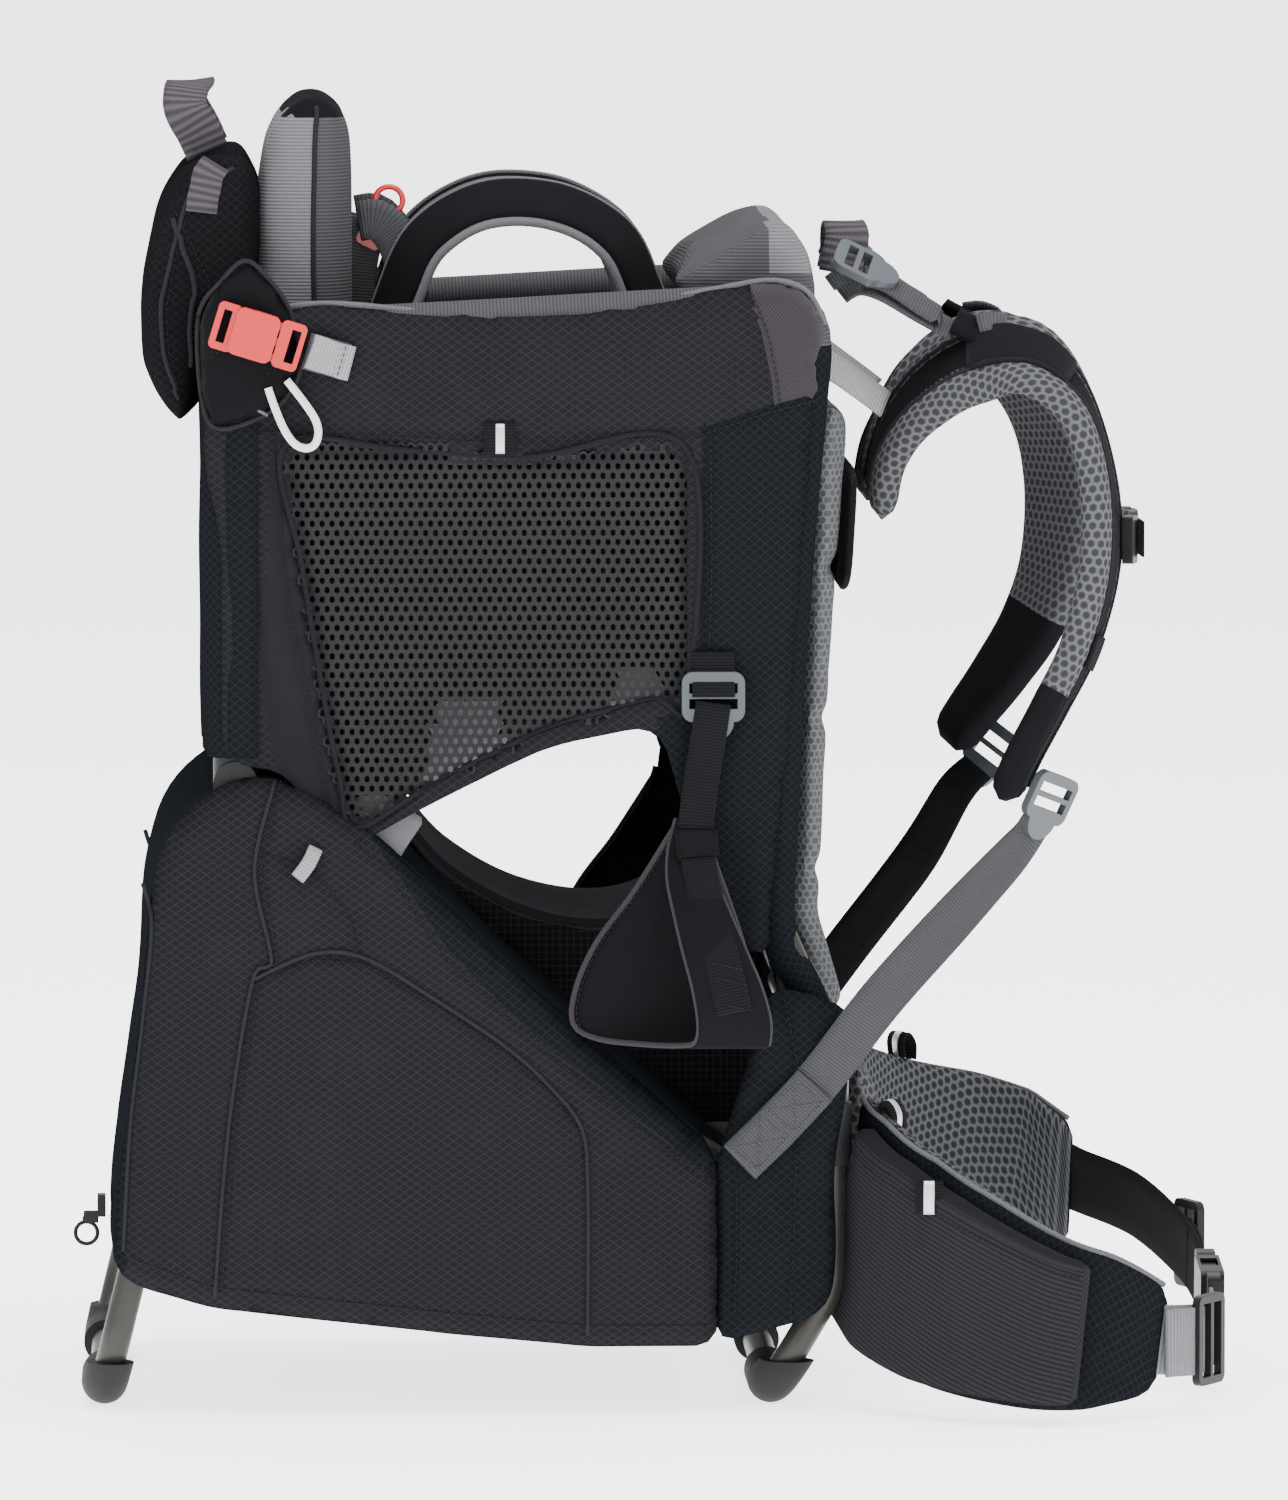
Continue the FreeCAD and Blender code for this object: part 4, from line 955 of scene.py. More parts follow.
PURPLE_SEAM = [(47, 610), (57, 585), (62, 562), (64, 546)]
BACK_SEAMS = [[(-206, 585), (-208, 520), (-200, 440), (-188, 380), (-178, 330)],
              [(-219, 560), (-221, 500), (-214, 430), (-205, 360)]]
RIM_BEAD = [(-232, 580), (-223, 591), (-179, 600), (-100, 594), (-25, 597), (30, 607), (63, 612),
            (82, 606), (92, 588)]
COCKPIT_FACE = 148.0
RIM_ROLL = 13.0


def cockpit_place(side):
    """How a cut of the cockpit's side lies: rolled in at the rim, pulled in at its seams and window."""
    seams = [BAND_SEAM, COLUMN_SEAM, PURPLE_SEAM, *BACK_SEAMS]

    def place(flat):
        y = COCKPIT_FACE + 1.6 * ripple(flat, 60.0, side * 3.1) + 0.7 * ripple(flat, 22.0, side * 5.3)
        y = y - rolled(distance(flat, RIM), RIM_ROLL) - seam_grooves(flat, seams)
        y = y - 3.0 * np.exp(-(distance(flat, WINDOW, True) / 5.0) ** 2) * inside(flat, WINDOW)
        return upright(flat, side * y)
    return place


def hex_net(name, region, place, material, pitch=(5.3, 3.4), hole=(2.7, 3.9)):
    """A net with six-sided holes in staggered rows, cut to a region."""
    low, high = np.min(region, 0), np.max(region, 0)
    centres = [(x + (j % 2) * pitch[0] / 2, z)
               for j, z in enumerate(np.arange(low[1] - 4, high[1] + 4, pitch[1] * 1.5))
               for x in np.arange(low[0] - 4, high[0] + 4, pitch[0])]
    centres = np.array(centres)
    reach = distance(centres, region, True)
    centres = centres[inside(centres, region) | (reach < 3.0)]
    corner = np.array([(0, 1), (1, 0.5), (1, -0.5), (0, -1), (-1, -0.5), (-1, 0.5)])
    outer = corner * (pitch[0] / 2, pitch[1])
    inner = corner * (hole[0] / 2, hole[1] / 2)
    verts = np.vstack([np.vstack([c + outer, c + inner]) for c in centres])
    faces = [(12 * i + j, 12 * i + (j + 1) % 6, 12 * i + 6 + (j + 1) % 6, 12 * i + 6 + j)
             for i in range(len(centres)) for j in range(6)]
    return mesh_object(name, place(verts), faces, [material], verts)


LINER = [(-214, 560), (-100, 572), (54, 576), (68, 560), (60, 431), (56, 360), (48, 300), (26, 312),
         (4, 382), (-58, 370), (-119, 340), (-166, 317), (-190, 332), (-220, 362), (-225, 475)]
# Grey patches on the liner; the third, at the window's top edge, is a painted highlight that stands for glints.
LINER_PATCHES_AND_GLINTS = [[(-124, 332), (-118, 386), (-84, 384), (-76, 340)], [(-22, 376), (-20, 404), (3, 402),
                                                                      (4, 372)], [(-112, 510),
                                                                                  (-104, 530), (-30, 530),
                                                                                  (-36, 516)]]


def cockpit_liner(side):
    """Inner cloth of the cockpit, behind the side tube, with grey patches on the child's side of the net; the patch
    at the window's top edge is a painted highlight.
    """
    def place(flat):
        return upright(flat, side * (115.0 + 2.2 * ripple(flat, 48.0, side * 4.4)))

    name = SIDE_NAMES[side]
    obj = sew(f"cockpit_liner_{name}", soft_corners(LINER, 9), place, [LINING, GREY_LINING], 7.0,
              regions=[(patch, 1) for patch in LINER_PATCHES_AND_GLINTS], thick=1.2, flip=side > 0)
    put(obj, "carrier", "inner_cloth")


def cockpit_side(side):
    """Side wall with its mesh window, the window's binding, the piped rim and the rows of stitches."""
    place = cockpit_place(side)
    column = [(25, 534), (62, 546), (100, 556), (110, 400), (90, 230), (0, 230), (0, 376), (24, 392)]
    top_corner = [(46, 625), (57, 585), (64, 546), (112, 556), (112, 625)]
    foot = [(52, 249), (90, 249), (90, 215), (52, 215)]
    rear_strip = [(-206, 530), (-199, 530), (-190, 460), (-160, 300), (-196, 300), (-215, 400)]
    name = SIDE_NAMES[side]
    obj = sew(f"cockpit_{name}", soft_corners(COCKPIT, 9), place, [SHELL, SHELL_DARK, PURPLE, BAND],
              seams=[BAND_SEAM, COLUMN_SEAM, PURPLE_SEAM, *BACK_SEAMS], hole=soft_corners(WINDOW, 9),
              regions=[(column, 1), (top_corner, 2), (foot, 2), (rear_strip, 3)], thick=1.6, flip=side > 0)
    put(obj, "carrier", "shell_cloth", f"cockpit_side_{name}")
    net = hex_net(f"window_net_{name}", WINDOW, lambda flat: place(flat) - (0, side * 1.0, 0), NET)
    put(net, "carrier", "inner_cloth")
    lip = cordage(f"window_binding_{name}", WINDOW, 1.5, BAND, 4.0, 6, True,
                  lambda flat: place(flat) + (0, side * 0.6, 0))
    put(lip, "carrier", "inner_cloth")
    bead = cordage(f"rim_piping_{name}", RIM_BEAD, 1.7, RIM_PIPING, 4.0, 8, False,
                   lambda flat: upright(flat, side * (COCKPIT_FACE - RIM_ROLL + 0.4)))
    put(bead, "carrier", "pad_cloth")
    lines = [shifted(BAND_SEAM, 0, -3.4), shifted(COLUMN_SEAM, 3.4, 0), shifted(PURPLE_SEAM, 3, 0),
             shifted(BACK_SEAMS[0], 3, 0)]
    sewing(f"cockpit_stitching_{name}", [on_cloth(place, line, 0.5, side) for line in lines])


def frame_sleeve(side):
    """Cloth tunnel round the side tube, from the waist over the top to the rear."""
    path = [(92, 206), (80, 232), (67, 262), (69, 330), (72, 400), (78, 480), (84, 548), (86, 575),
            (82, 592), (66, 600), (0, 597.5), (-100, 592), (-180, 588), (-203, 586), (-214, 574),
            (-216, 540), (-219, 460), (-222, 372)]
    obj = cordage(f"frame_sleeve_{SIDE_NAMES[side]}", path, 9.6, SHELL_DARK, 7.0, 14, False,
                  lambda flat: upright(flat, side * 130.0))
    obj.data.materials.append(RIB_MID)
    for face in obj.data.polygons:
        face.material_index = int(face.center.z > 0.578)
    put(obj, "carrier", "shell_cloth")


def cockpit_rear():
    """Rear wall, turned forward at both ends to meet the cockpit's sides."""
    levels = np.linspace(356, 602, 22)
    plan = [(-148, -214), (-147, -228), (-141, -237), (-128, -240.5), (-60, -241.5), (0, -242),
            (60, -241.5), (128, -240.5), (141, -237), (147, -228), (148, -214)]
    flat = spline([(y, x) for y, x in plan], 8.0)
    rings = []
    for z in levels:
        roll = rolled(np.array([604.0 - z]), 10.0)[0]
        ring = []
        for y, x in flat:
            sag = 1.8 * noise.noise(Vector((y / 45, z / 60, 2.5))) + 1.5 * math.sin(math.pi * (z - 356) / 246)
            forward = roll * (1 if abs(y) < 140 else 0.4)
            ring.append((x - sag * (abs(y) < 142) + forward, y * (1 - 0.05 * roll / 10), z))
        rings.append(ring)
    obj = loft("cockpit_rear_wall", rings, [SHELL_DARK], caps=False, closed=False)
    thicken(obj, 1.6)
    put(obj, "carrier", "shell_cloth", "cockpit_rear")


def corner_tab(side):
    """Padded cloth corner behind the side buckle."""
    outline = [(-245, 594), (-232, 614), (-219, 624), (-204, 610), (-196, 596), (-190, 570), (-197, 552),
               (-212, 540), (-236, 534), (-244, 552)]
    arcs = [[(-240, 588), (-226, 600), (-212, 596), (-203, 582), (-199, 564)],
            [(-238, 572), (-226, 583), (-214, 578), (-207, 562)]]

    def place(flat):
        y = 151.6 + 1.4 * np.minimum(distance(flat, outline, True) / 5.0, 1) - seam_grooves(flat, arcs,
                                                                                            0.8, 1.8)
        y = y - rolled(distance(flat, outline, True), 3.0)
        y = y - 11.0 * np.clip((-228 - flat[:, 0]) / 18.0, 0, 1) ** 2
        return upright(flat, side * y)

    name = SIDE_NAMES[side]
    obj = sew(f"corner_tab_{name}", soft_corners(outline, 7), place, [SMOOTH_BLACK], 5.0, arcs, thick=2.2,
              flip=side > 0)
    put(obj, "carrier", "inner_cloth", "cockpit_rear")
    sewing(f"tab_stitching_{name}", [on_cloth(place, arc, 0.7, side) for arc in arcs])
    edge = cordage(f"tab_piping_{name}", outline, 1.3, DARK_PIPING, 3.0, 6, True, place)
    put(edge, "carrier", "strap_cloth")


def reflective_tab(side):
    """A short folded webbing tab on the band over the window, with a silver stripe down it."""
    name = SIDE_NAMES[side]
    x = -83.5
    base = [(x, side * 148.6, 537), (x, side * 149.4, 528), (x, side * 148.9, 519)]
    stripe = [(x, side * 149.8, 536), (x, side * 150.6, 528), (x, side * 150.1, 520)]
    strap(f"side_{name}_tab", base, (1, 0, 0), 17, BLACK_WEB, 2.0, slot="black_webbing")
    strap(f"side_{name}_stripe", stripe, (1, 0, 0), 5.0, SILVER, 0.5)


# ---- seat ----------------------------------------------------------------------------------------
SADDLE = [(-178, 343), (-140, 320), (-112, 291), (-72, 268), (-30, 260), (6, 270), (34, 300), (50, 338)]


def seat():
    """The child's saddle and the piping along its edges."""
    obj = pad("seat_sling", [(x, 0, z) for x, z in SADDLE], (0, 1, 0), [150, 149, 147, 146, 146, 147, 148,
                                                                        150], 9, [SADDLE_CLOTH, BAND],
              hemmed(0.96), 6.0, 6.0, 0.2)
    reshape(obj, lambda p: p + np.stack([0 * p[:, 0], 0 * p[:, 0], 1.3 * ripple(p[:, :2], 42.0, 1.7)
                                         - 4.0 * np.clip((np.abs(p[:, 1]) - 62) / 12, 0, 1) ** 2], 1))
    put(obj, "carrier", "saddle_cloth", "seat_saddle")
    for side in (-1, 1):
        piping(f"seat_edge_{SIDE_NAMES[side]}", [(x, side * 73.5, z - 5.0) for x, z in SADDLE], 1.8)


# ---- lower compartment ---------------------------------------------------------------------------
BAG = [(-293, 80), (-291, 120), (-284, 168), (-277, 223), (-272, 285), (-263, 318), (-234, 343),
       (-210, 347), (-185, 337), (-149, 314), (-80, 245), (-25, 196), (34, 142), (35, 36), (-36, 36),
       (-108, 43), (-190, 52), (-240, 58), (-280, 70)]
ARCH_SEAM = [(-217, 238), (-184, 252), (-156, 249), (-118, 226), (-80, 200), (-57, 179), (-40, 156),
             (-37, 120), (-37, 44)]
BAG_SEAMS = [ARCH_SEAM, [(-205, 344), (-216, 297), (-207, 248), (-217, 238), (-230, 160), (-238, 66)],
             [(-160, 316), (-141, 297), (-111, 252), (-71, 212), (-24, 174), (24, 134)],
             [(-276, 289), (-271, 266), (-276, 215), (-283, 156), (-287, 90)],
             [(-285, 84), (-240, 68), (-190, 62), (-108, 53), (-36, 46), (30, 46)]]
ZIP_ARC = [(-212, 307), (-184, 297), (-165, 273), (-160, 253)]
BAG_FACE = 160.0
BAG_ROLL = 15.0


def bag_place(side):
    """How a side of the compartment lies: full in the middle, rolled in all round, pulled in at its seams."""
    def place(flat):
        gap = distance(flat, BAG, True)
        y = BAG_FACE + 7.0 * (1 - np.exp(-(gap / 55.0) ** 2))
        y = y + 2.6 * ripple(flat, 70.0, side * 2.2) + 1.1 * ripple(flat * (1.0, 0.5), 24.0, side * 7.7)
        y = y - rolled(gap, BAG_ROLL) - seam_grooves(flat, [*BAG_SEAMS, ZIP_ARC], 2.4, 3.2)
        return upright(flat, side * y)
    return place


def between_legs(obj, slot, *nodes):
    """Hands a piece of the compartment to bend, which bakes it in place; it is not turned from the carrier to the
    kickstand behind it.
    """
    bend(obj, ("carrier", "kickstand"), (-170, 0, 0), (-285, 0, 0), slot, *nodes)


def bag_side(side):
    """One sewn side of the compartment with its stitches and piping."""
    name = SIDE_NAMES[side]
    place = bag_place(side)
    top = [(-165, 330), (-141, 297), (-111, 252), (-71, 212), (-24, 174), (24, 134), (60, 120), (60, 160),
           (-80, 300)]
    rear = [(-310, 60), (-287, 60), (-287, 90), (-283, 156), (-276, 215), (-271, 266), (-276, 289),
            (-310, 300)]
    obj = sew(f"bag_side_{name}", soft_corners(BAG, 10), place, [SHELL, SHELL_DARK], seams=[*BAG_SEAMS,
                                                                                            ZIP_ARC],
              regions=[(top, 1), (rear, 1)], thick=1.5, flip=side > 0)
    between_legs(obj, "shell_cloth", f"lower_bag_side_{name}")
    lines = [shifted(ARCH_SEAM, 0, -3.2), ZIP_ARC, shifted(BAG_SEAMS[1], 3.4, 0), shifted(BAG_SEAMS[2],
                                                                                          -1.5, -3.4),
             shifted(BAG_SEAMS[4], 0, 3)]
    rows = [on_cloth(place, line, 0.5, side) for line in lines]
    between_legs(stitches(f"bag_stitching_{name}", rows, STITCH), "strap_cloth")
    for i, line in enumerate([BAG_SEAMS[3], BAG_SEAMS[1], ARCH_SEAM]):
        bead = cordage(f"bag_piping_{name}_{i + 1}", line, 1.25, DARK_PIPING, 4.0, 6, False,
                       lambda flat: place(flat) + (0, side * 0.9, 0))
        between_legs(bead, "strap_cloth")


def bag_gusset():
    """One long strip that joins the compartment's sides all the way round."""
    outline = soft_corners(BAG, 10)
    ring = resample([*outline, outline[0]], 7.0, True)
    ahead = np.roll(ring, -1, 0) - np.roll(ring, 1, 0)
    normal = np.stack([-ahead[:, 1], ahead[:, 0]], 1) / np.linalg.norm(ahead, axis=1)[:, None]
    if inside(ring[:1] + normal[:1] * 3, outline)[0]:
        normal = -normal
    rows = []
    edge = BAG_FACE - BAG_ROLL
    for y in np.linspace(-edge, edge, 30):
        puff = np.array([noise.noise(Vector((x / 60, y / 50, z / 60))) for x, z in ring]) * 2.2
        away = ring + normal * (3.0 * (1 - (y / edge) ** 4) + puff * (1 - (y / edge) ** 8))[:, None]
        away[:, 0] = np.minimum(away[:, 0], 35.5)
        rows.append(upright(away, y))
    obj = loft("bag_gusset", rows, [SHELL_DARK], caps=False)
    thicken(obj, 1.5)
    between_legs(obj, "shell_cloth", "lower_bag_rear", "lower_bag_floor", "lower_bag_tops")


def seat_wall(side):
    """Cloth between the seat's edge and the top of the compartment."""
    outline = [(-133, 302), (-108, 282), (-70, 262), (-30, 254), (4, 262), (28, 290), (60, 262),
               (62, 150), (20, 150), (-78, 244)]

    def place(flat):
        return upright(flat, side * (76.0 + 1.2 * ripple(flat, 30.0)))

    obj = sew(f"seat_wall_{SIDE_NAMES[side]}", outline, place, [LINING], 8.0, thick=1.4, flip=side > 0)
    put(obj, "carrier", "inner_cloth")


def front_flap(side):
    """Side flap of the compartment that reaches forward to the belt, with its hem."""
    outline = [(33, 138), (48, 184), (61, 232), (84, 228), (108, 218), (103, 173), (96, 132), (98, 91),
               (96, 63), (84, 51), (56, 44), (33, 38)]
    seams = [[(66, 226), (76, 180), (72, 120), (70, 50)], [(40, 146), (41, 90), (39, 44)]]

    def place(flat):
        gap = distance(flat, outline, True)
        y = 152.0 + 2.0 * ripple(flat, 40.0, side * 1.3) + 2.5 * (1 - np.exp(-(gap / 30) ** 2))
        y = y - rolled(gap, 4.0) - seam_grooves(flat, seams, 1.5, 2.4)
        y = np.minimum(y, 153.0)
        return upright(flat, side * y)

    name = SIDE_NAMES[side]
    obj = sew(f"front_flap_{name}", soft_corners(outline, 7), place, [SHELL_DARK], 6.0, seams, thick=1.5,
              flip=side > 0)
    put(obj, "carrier", "shell_cloth", "front_flaps")
    sewing(f"flap_stitching_{name}", [on_cloth(place, shifted(line, 3, 0), 0.5, side) for line in seams])


# ---- pads ----------------------------------------------------------------------------------------
def headrest():
    """The headrest, hollowed for the child, with its side piping."""
    outline = [(-210, 565), (-209, 650), (-203, 688), (-190, 710), (-175, 713), (-166, 704), (-165, 565)]

    def hollow(p):
        front = -121 - np.sqrt(np.maximum(62.0 ** 2 - p[:, 1] ** 2, 0))
        p[:, 0] = np.where((np.abs(p[:, 1]) < 60) & (p[:, 0] > front), front, p[:, 0])
        return p

    obj = reshape(prism("headrest", outline, 79, [RIB_LIGHT, RIB_MID, SMOOTH_BLACK], 10), hollow)
    inflate(obj, 5.0, slot_of=lambda c, n: 2 if c.z > 698 else 1 if c.x > -184 else 0)
    subdivide(obj)
    put(obj, "carrier", "pad_cloth", "headrest_pad")
    for side in (-1, 1):
        seam = [(-182, side * 84.5, 568), (-182, side * 85, 640), (-181, side * 84, 690),
                (-180, side * 80, 707)]
        piping(f"headrest_piping_{SIDE_NAMES[side]}", hug(obj, seam), 1.4)


def sunshade_pocket():
    """The pocket behind the headrest, with its flap seam, piping and bands."""
    outline = [(-216, 682), (-244, 677), (-262, 650), (-272, 602), (-271, 564), (-261, 543), (-247, 526),
               (-246, 606), (-217, 606)]
    obj = prism("sunshade_pocket", outline, 100, [SHELL_BLACK], 9)
    inflate(obj, 5.0)
    subdivide(obj)
    put(obj, "carrier", "shell_cloth", "sunshade_pocket")
    for side in (-1, 1):
        name = SIDE_NAMES[side]
        flap = [(-268, side * 110, 646), (-256, side * 110, 628), (-240, side * 110, 590),
                (-232, side * 110, 562)]
        piping(f"pocket_flap_{name}", hug(obj, flap), 1.6)
        lines = [hug(obj, [(x + 5, y, z + 3) for x, y, z in flap], 0.4)]
        edge = [(-224, side * 110, 674), (-246, side * 110, 668), (-258, side * 110, 646),
                (-266, side * 110, 600), (-264, side * 110, 566), (-254, side * 110, 544)]
        lines.append(hug(obj, [(x + 4, y, z) for x, y, z in edge], 0.4))
        sewing(f"pocket_stitching_{name}", lines)
        piping(f"pocket_piping_{name}", hug(obj, edge), 1.4)
        band = hug(obj, [(-238, side * 110, 682), (-242, side * 110, 666), (-245, side * 110, 648)], 0.8)
        strap(f"pocket_band_{name}", band, (1, 0, 0.2), 17, PURPLE_WEB, 1.4, slot="strap_cloth")


def drool_pad():
    """The pad in front of the child."""
    outline = [(6, 610), (36, 627), (67, 646), (77, 641), (82, 625), (90, 606), (88, 590), (66, 581),
               (30, 594)]
    obj = prism("drool_pad", outline, 108, [RIB_MID, RIB_LIGHT], 9)
    inflate(obj, 5.0, slot_of=lambda c, n: 1 if c.x > 62 and c.z > 612 else 0)
    subdivide(obj)
    put(obj, "carrier", "pad_cloth", "drool_pad")


def back_pads():
    """The channelled back panel, the lumbar pad, and the yoke that joins the straps."""
    outline = [(95, 203), (79, 265), (85, 400), (96, 549), (103, 549), (92, 400), (86, 265), (105, 199)]

    def channels(p):
        front = p[:, 0] > np.interp(p[:, 2], (200, 265, 400, 550), (100, 82, 88, 99))
        groove = np.exp(-(np.abs(np.abs(p[:, 1]) - 34) / 5) ** 2) + 0.8 * np.exp(-(p[:, 1] / 6) ** 2)
        rows = sum(np.exp(-(np.abs(p[:, 2] - z) / 5) ** 2) for z in (290, 372, 454))
        p[:, 0] -= np.where(front, 3.2 * np.minimum(groove + rows, 1), 0)
        return p

    obj = prism("back_pad", outline, 104, [BACK_MESH], 4)
    inflate(obj, 5.0, 4.0)
    subdivide(reshape(obj, channels))
    put(obj, "carrier", "pad_cloth", "back_pad")
    low = prism("lumbar_pad", [(110, 187), (119, 182), (121, 80), (112, 71)], 80, [HEX_LIGHT], 4)
    inflate(low, 5.0)
    subdivide(low)
    put(low, "carrier", "pad_cloth", "lumbar_pad")
    yoke = pad("harness_yoke", [(107, y, 474) for y in np.linspace(-90, 90, 9)], (0.06, 0, 1),
               [62] + [68] * 7 + [62], 8, [SMOOTH_BLACK, BAND], hemmed(0.95))
    put(yoke, "harness", "strap_cloth", "harness_yoke")


# ---- child's harness -----------------------------------------------------------------------------
HALO = [(-150, 542), (-146, 572), (-137, 602), (-122, 632), (-90, 651), (-50, 650), (-18, 632), (-3, 602),
        (9, 568)]
HALO_WIDTHS = [28, 32, 34, 34, 34, 34, 34, 32, 28]
HALO_T = 9.0
HALO_TILT = math.radians(32.0)


def halo(side):
    """Padded arch whose outer face leans away from the child, and its webbing over the headrest's foot."""
    name = SIDE_NAMES[side]
    path = np.array([(x, side * 60, z) for x, z in HALO], float)
    along, _, _ = frames(path, (0, 1, 0))
    inward = np.cross(along, (0, -1, 0))
    across = inward * (side * math.sin(HALO_TILT)) + np.array((0, math.cos(HALO_TILT), 0))
    obj = pad(f"halo_{name}", path, across, HALO_WIDTHS, HALO_T, [SMOOTH_BLACK, GREY_LINING],
              lambda u, outer, t: int(not outer))
    put(obj, "carrier", "strap_cloth", "halo_straps")
    edge = surface_line(path, across, HALO_WIDTHS, HALO_T, -0.97 * side, 0.0)
    lining = surface_line(path, across, HALO_WIDTHS, HALO_T, 0.97 * side, 1.0, -1)
    piping(f"halo_lining_{name}", lining[1:-1], 3.0, GREY_LINING, slot="pad_cloth")
    piping(f"halo_piping_{name}", edge[1:-1], 1.3, RIM_PIPING, slot="pad_cloth", sides=6)
    web = [(-160, 592), (-159, 618), (-154, 636), (-144, 637), (-134, 622), (-128, 588)]
    web = [(x, side * 22, z) for x, z in web]
    tail = webbing(f"halo_webbing_{name}", web, (0, 1, 0), 20, GREY_WEB, 2.2)
    put(tail, "carrier", "grey_webbing", "halo_straps")
    strip_sheet(web)
    straight = [(-160, side * 36, 590), (-158, side * 37, 616), (-153, side * 38, 640)]
    strap(f"harness_strap_{name}", straight, (1, 0, 0.1), 21, GREY_WEB, 2.0)
    bent = [(-158, side * 41, 640), (-146, side * 43, 640), (-135, side * 45, 624), (-130, side * 47, 594)]
    strap(f"harness_cross_{name}", bent, (0.6, 0, 0.8), 22, GREY_WEB, 2.0)


# ---- shoulder straps -----------------------------------------------------------------------------
STRAP_PATHS = { -1: [(126, -48, 484), (131, -54, 515), (147, -62, 543), (174, -71, 563), (204, -80, 566),
                     (229, -86, 542), (242, -90, 500), (243, -93, 455), (232, -96, 412), (216, -99, 380),
                     (201, -101, 352), (190, -102, 328)], 1: [(126, 48, 484), (132, 54, 516),
                                                              (148, 62, 544), (173, 71, 562),
                                                              (200, 79, 562), (222, 84, 532),
                                                              (233, 88, 492), (231, 89, 446),
                                                              (219, 91, 411), (201, 93, 382),
                                                              (185, 95, 360), (172, 96, 342)], }
STRAP_WIDTHS = [68, 66, 64, 64, 64, 62, 60, 58, 56, 52, 44, 34]
# In degrees: how far each strap's outer face turns about Z towards the middle,
# and how far it rolls out over the shoulder.
STRAP_TURNS = {
    -1: [0, 0, 0, 0, 0, 5, 11, 14, 14, 14, 14, 14],
    1: [0, 4, 8, 12, 18, 24, 30, 30, 30, 30, 30, 30],
}
STRAP_ROLLS = [4, 16, 32, 36, 30, 14, 0, 0, 0, 0, 0, 0]
STRAP_T = 17.0
BORDER = 0.47


def strap_across(side):
    """The direction across the strap at each of its points."""
    turns, rolls = np.radians(STRAP_TURNS[side]), np.radians(STRAP_ROLLS)
    return np.stack([-side * np.sin(turns), np.cos(turns), -side * np.tan(rolls)], 1)


def strap_pick(side):
    """Black down the middle of the outer face, spacer mesh elsewhere, and a black padded end."""
    end = 0.83 if side < 0 else 0.76

    def pick(u, outer, t):
        if t > end:
            return 0
        if not outer or abs(u) > BORDER:
            return 1
        return 2 if t > 0.58 else 0
    return pick


def shoulder_strap(side):
    """The padded strap with its seams, and what is sewn on its outer face."""
    name = SIDE_NAMES[side]
    facts = (STRAP_PATHS[side], strap_across(side), STRAP_WIDTHS)
    # The near strap gets the light spacer mesh and the far strap a darker copy of it: painted shade.
    mesh_cloth = HEX_LIGHT if side < 0 else HEX_SHADED
    obj = pad(f"shoulder_strap_{name}", *facts, STRAP_T, [SMOOTH_BLACK, mesh_cloth, RIB_BLACK],
              strap_pick(side), 5.0, 12.0)
    put(obj, "harness", "strap_cloth", f"shoulder_strap_{name}")
    rows = []
    for u, label in ((-BORDER, "a"), (BORDER, "b")):
        line = surface_line(*facts, STRAP_T, u, 0.3)[2:-2]
        piping(f"strap_piping_{name}_{label}", line, 1.1, body="harness", sides=6, step=5.0)
        rows.append(surface_line(*facts, STRAP_T, u * 0.86, 0.5)[2:-2])
    ends = [row[len(row) * 58 // 100] for row in rows]
    rows.append(np.array([ends[0] + (ends[1] - ends[0]) * t for t in np.linspace(0, 1, 8)]))
    sewing(f"strap_stitching_{name}", rows, "harness")
    strap_pocket(side, facts)


def strap_pocket(side, facts):
    """The small ribbed pocket on the strap's outer face, and the keeper band below it."""
    name = SIDE_NAMES[side]
    spine = surface_line(*facts, STRAP_T, 0.0, 1.0)
    _, across, _ = frames(spine, spread(facts[1], len(spine)))
    run = slice(len(spine) * 26 // 100, len(spine) * 43 // 100, 3)
    pocket = pad(f"strap_pocket_{name}", spine[run], across[run], [33] * len(spine[run]), 5.0, [RIB_BLACK,
                                                                                                BAND],
                 lambda u, outer, t: int(abs(u) > 0.9 or t < 0.08 or t > 0.92), 4.0, 5.0, 0.25)
    put(pocket, "harness", "strap_cloth")
    middle = len(spine) * 77 // 100
    run = slice(middle - 2, middle + 2)
    strap(f"strap_keeper_{name}", spine[run], across[run], 31, BLACK_WEB, 2.2, "harness", "black_webbing")


def strap_tip(side):
    """The strap's lower end: its place, the way it points, and the way that its front faces."""
    tip, before = (np.array(p, float) for p in (STRAP_PATHS[side][-1], STRAP_PATHS[side][-2]))
    along = unit((tip[0] - before[0], 0, tip[2] - before[2]))
    return tip, along, np.array((-along[2], 0, along[0]))


def strap_webbing(side):
    """Lower webbing from the strap's lock to the flap."""
    name = SIDE_NAMES[side]
    tip, along, front = strap_tip(side)
    start = tip - along * 1 + front * 22
    level = unit(np.cross(front * 0.7 + np.array((0, side * 0.7, 0)), along))
    outer = 153.9
    corner = np.array((122, side * (outer + 1.5), 226.0))
    way = unit((corner[0] - 85, 0, corner[2] - 178))
    flat = np.array((way[2], 0, -way[0]))
    slack = (start * 0.5 + corner * 0.5) - (0, 0, 2)
    points = [start, tip + along * 19 + front * 19, slack, corner, (85, side * outer, 178),
              (46, side * outer, 138)]
    level = level if np.dot(level, flat) > 0 else -level
    across = [level, level * 0.6 + flat * 0.4, flat, flat, flat, flat]
    # Grey on the near side and black on the far side: one webbing painted as a lit and a shaded copy.
    material = GREY_WEB if side < 0 else BLACK_WEB
    obj = webbing(f"strap_webbing_{name}", points, across, 25, material, 1.8)
    bend(obj, ("carrier", "harness"), (110, side * 140, 215), (178, side * 110, 315), "grey_webbing",
         "harness_webbing")
    strip_sheet(points)
    webbing_end(side, outer, flat, material)


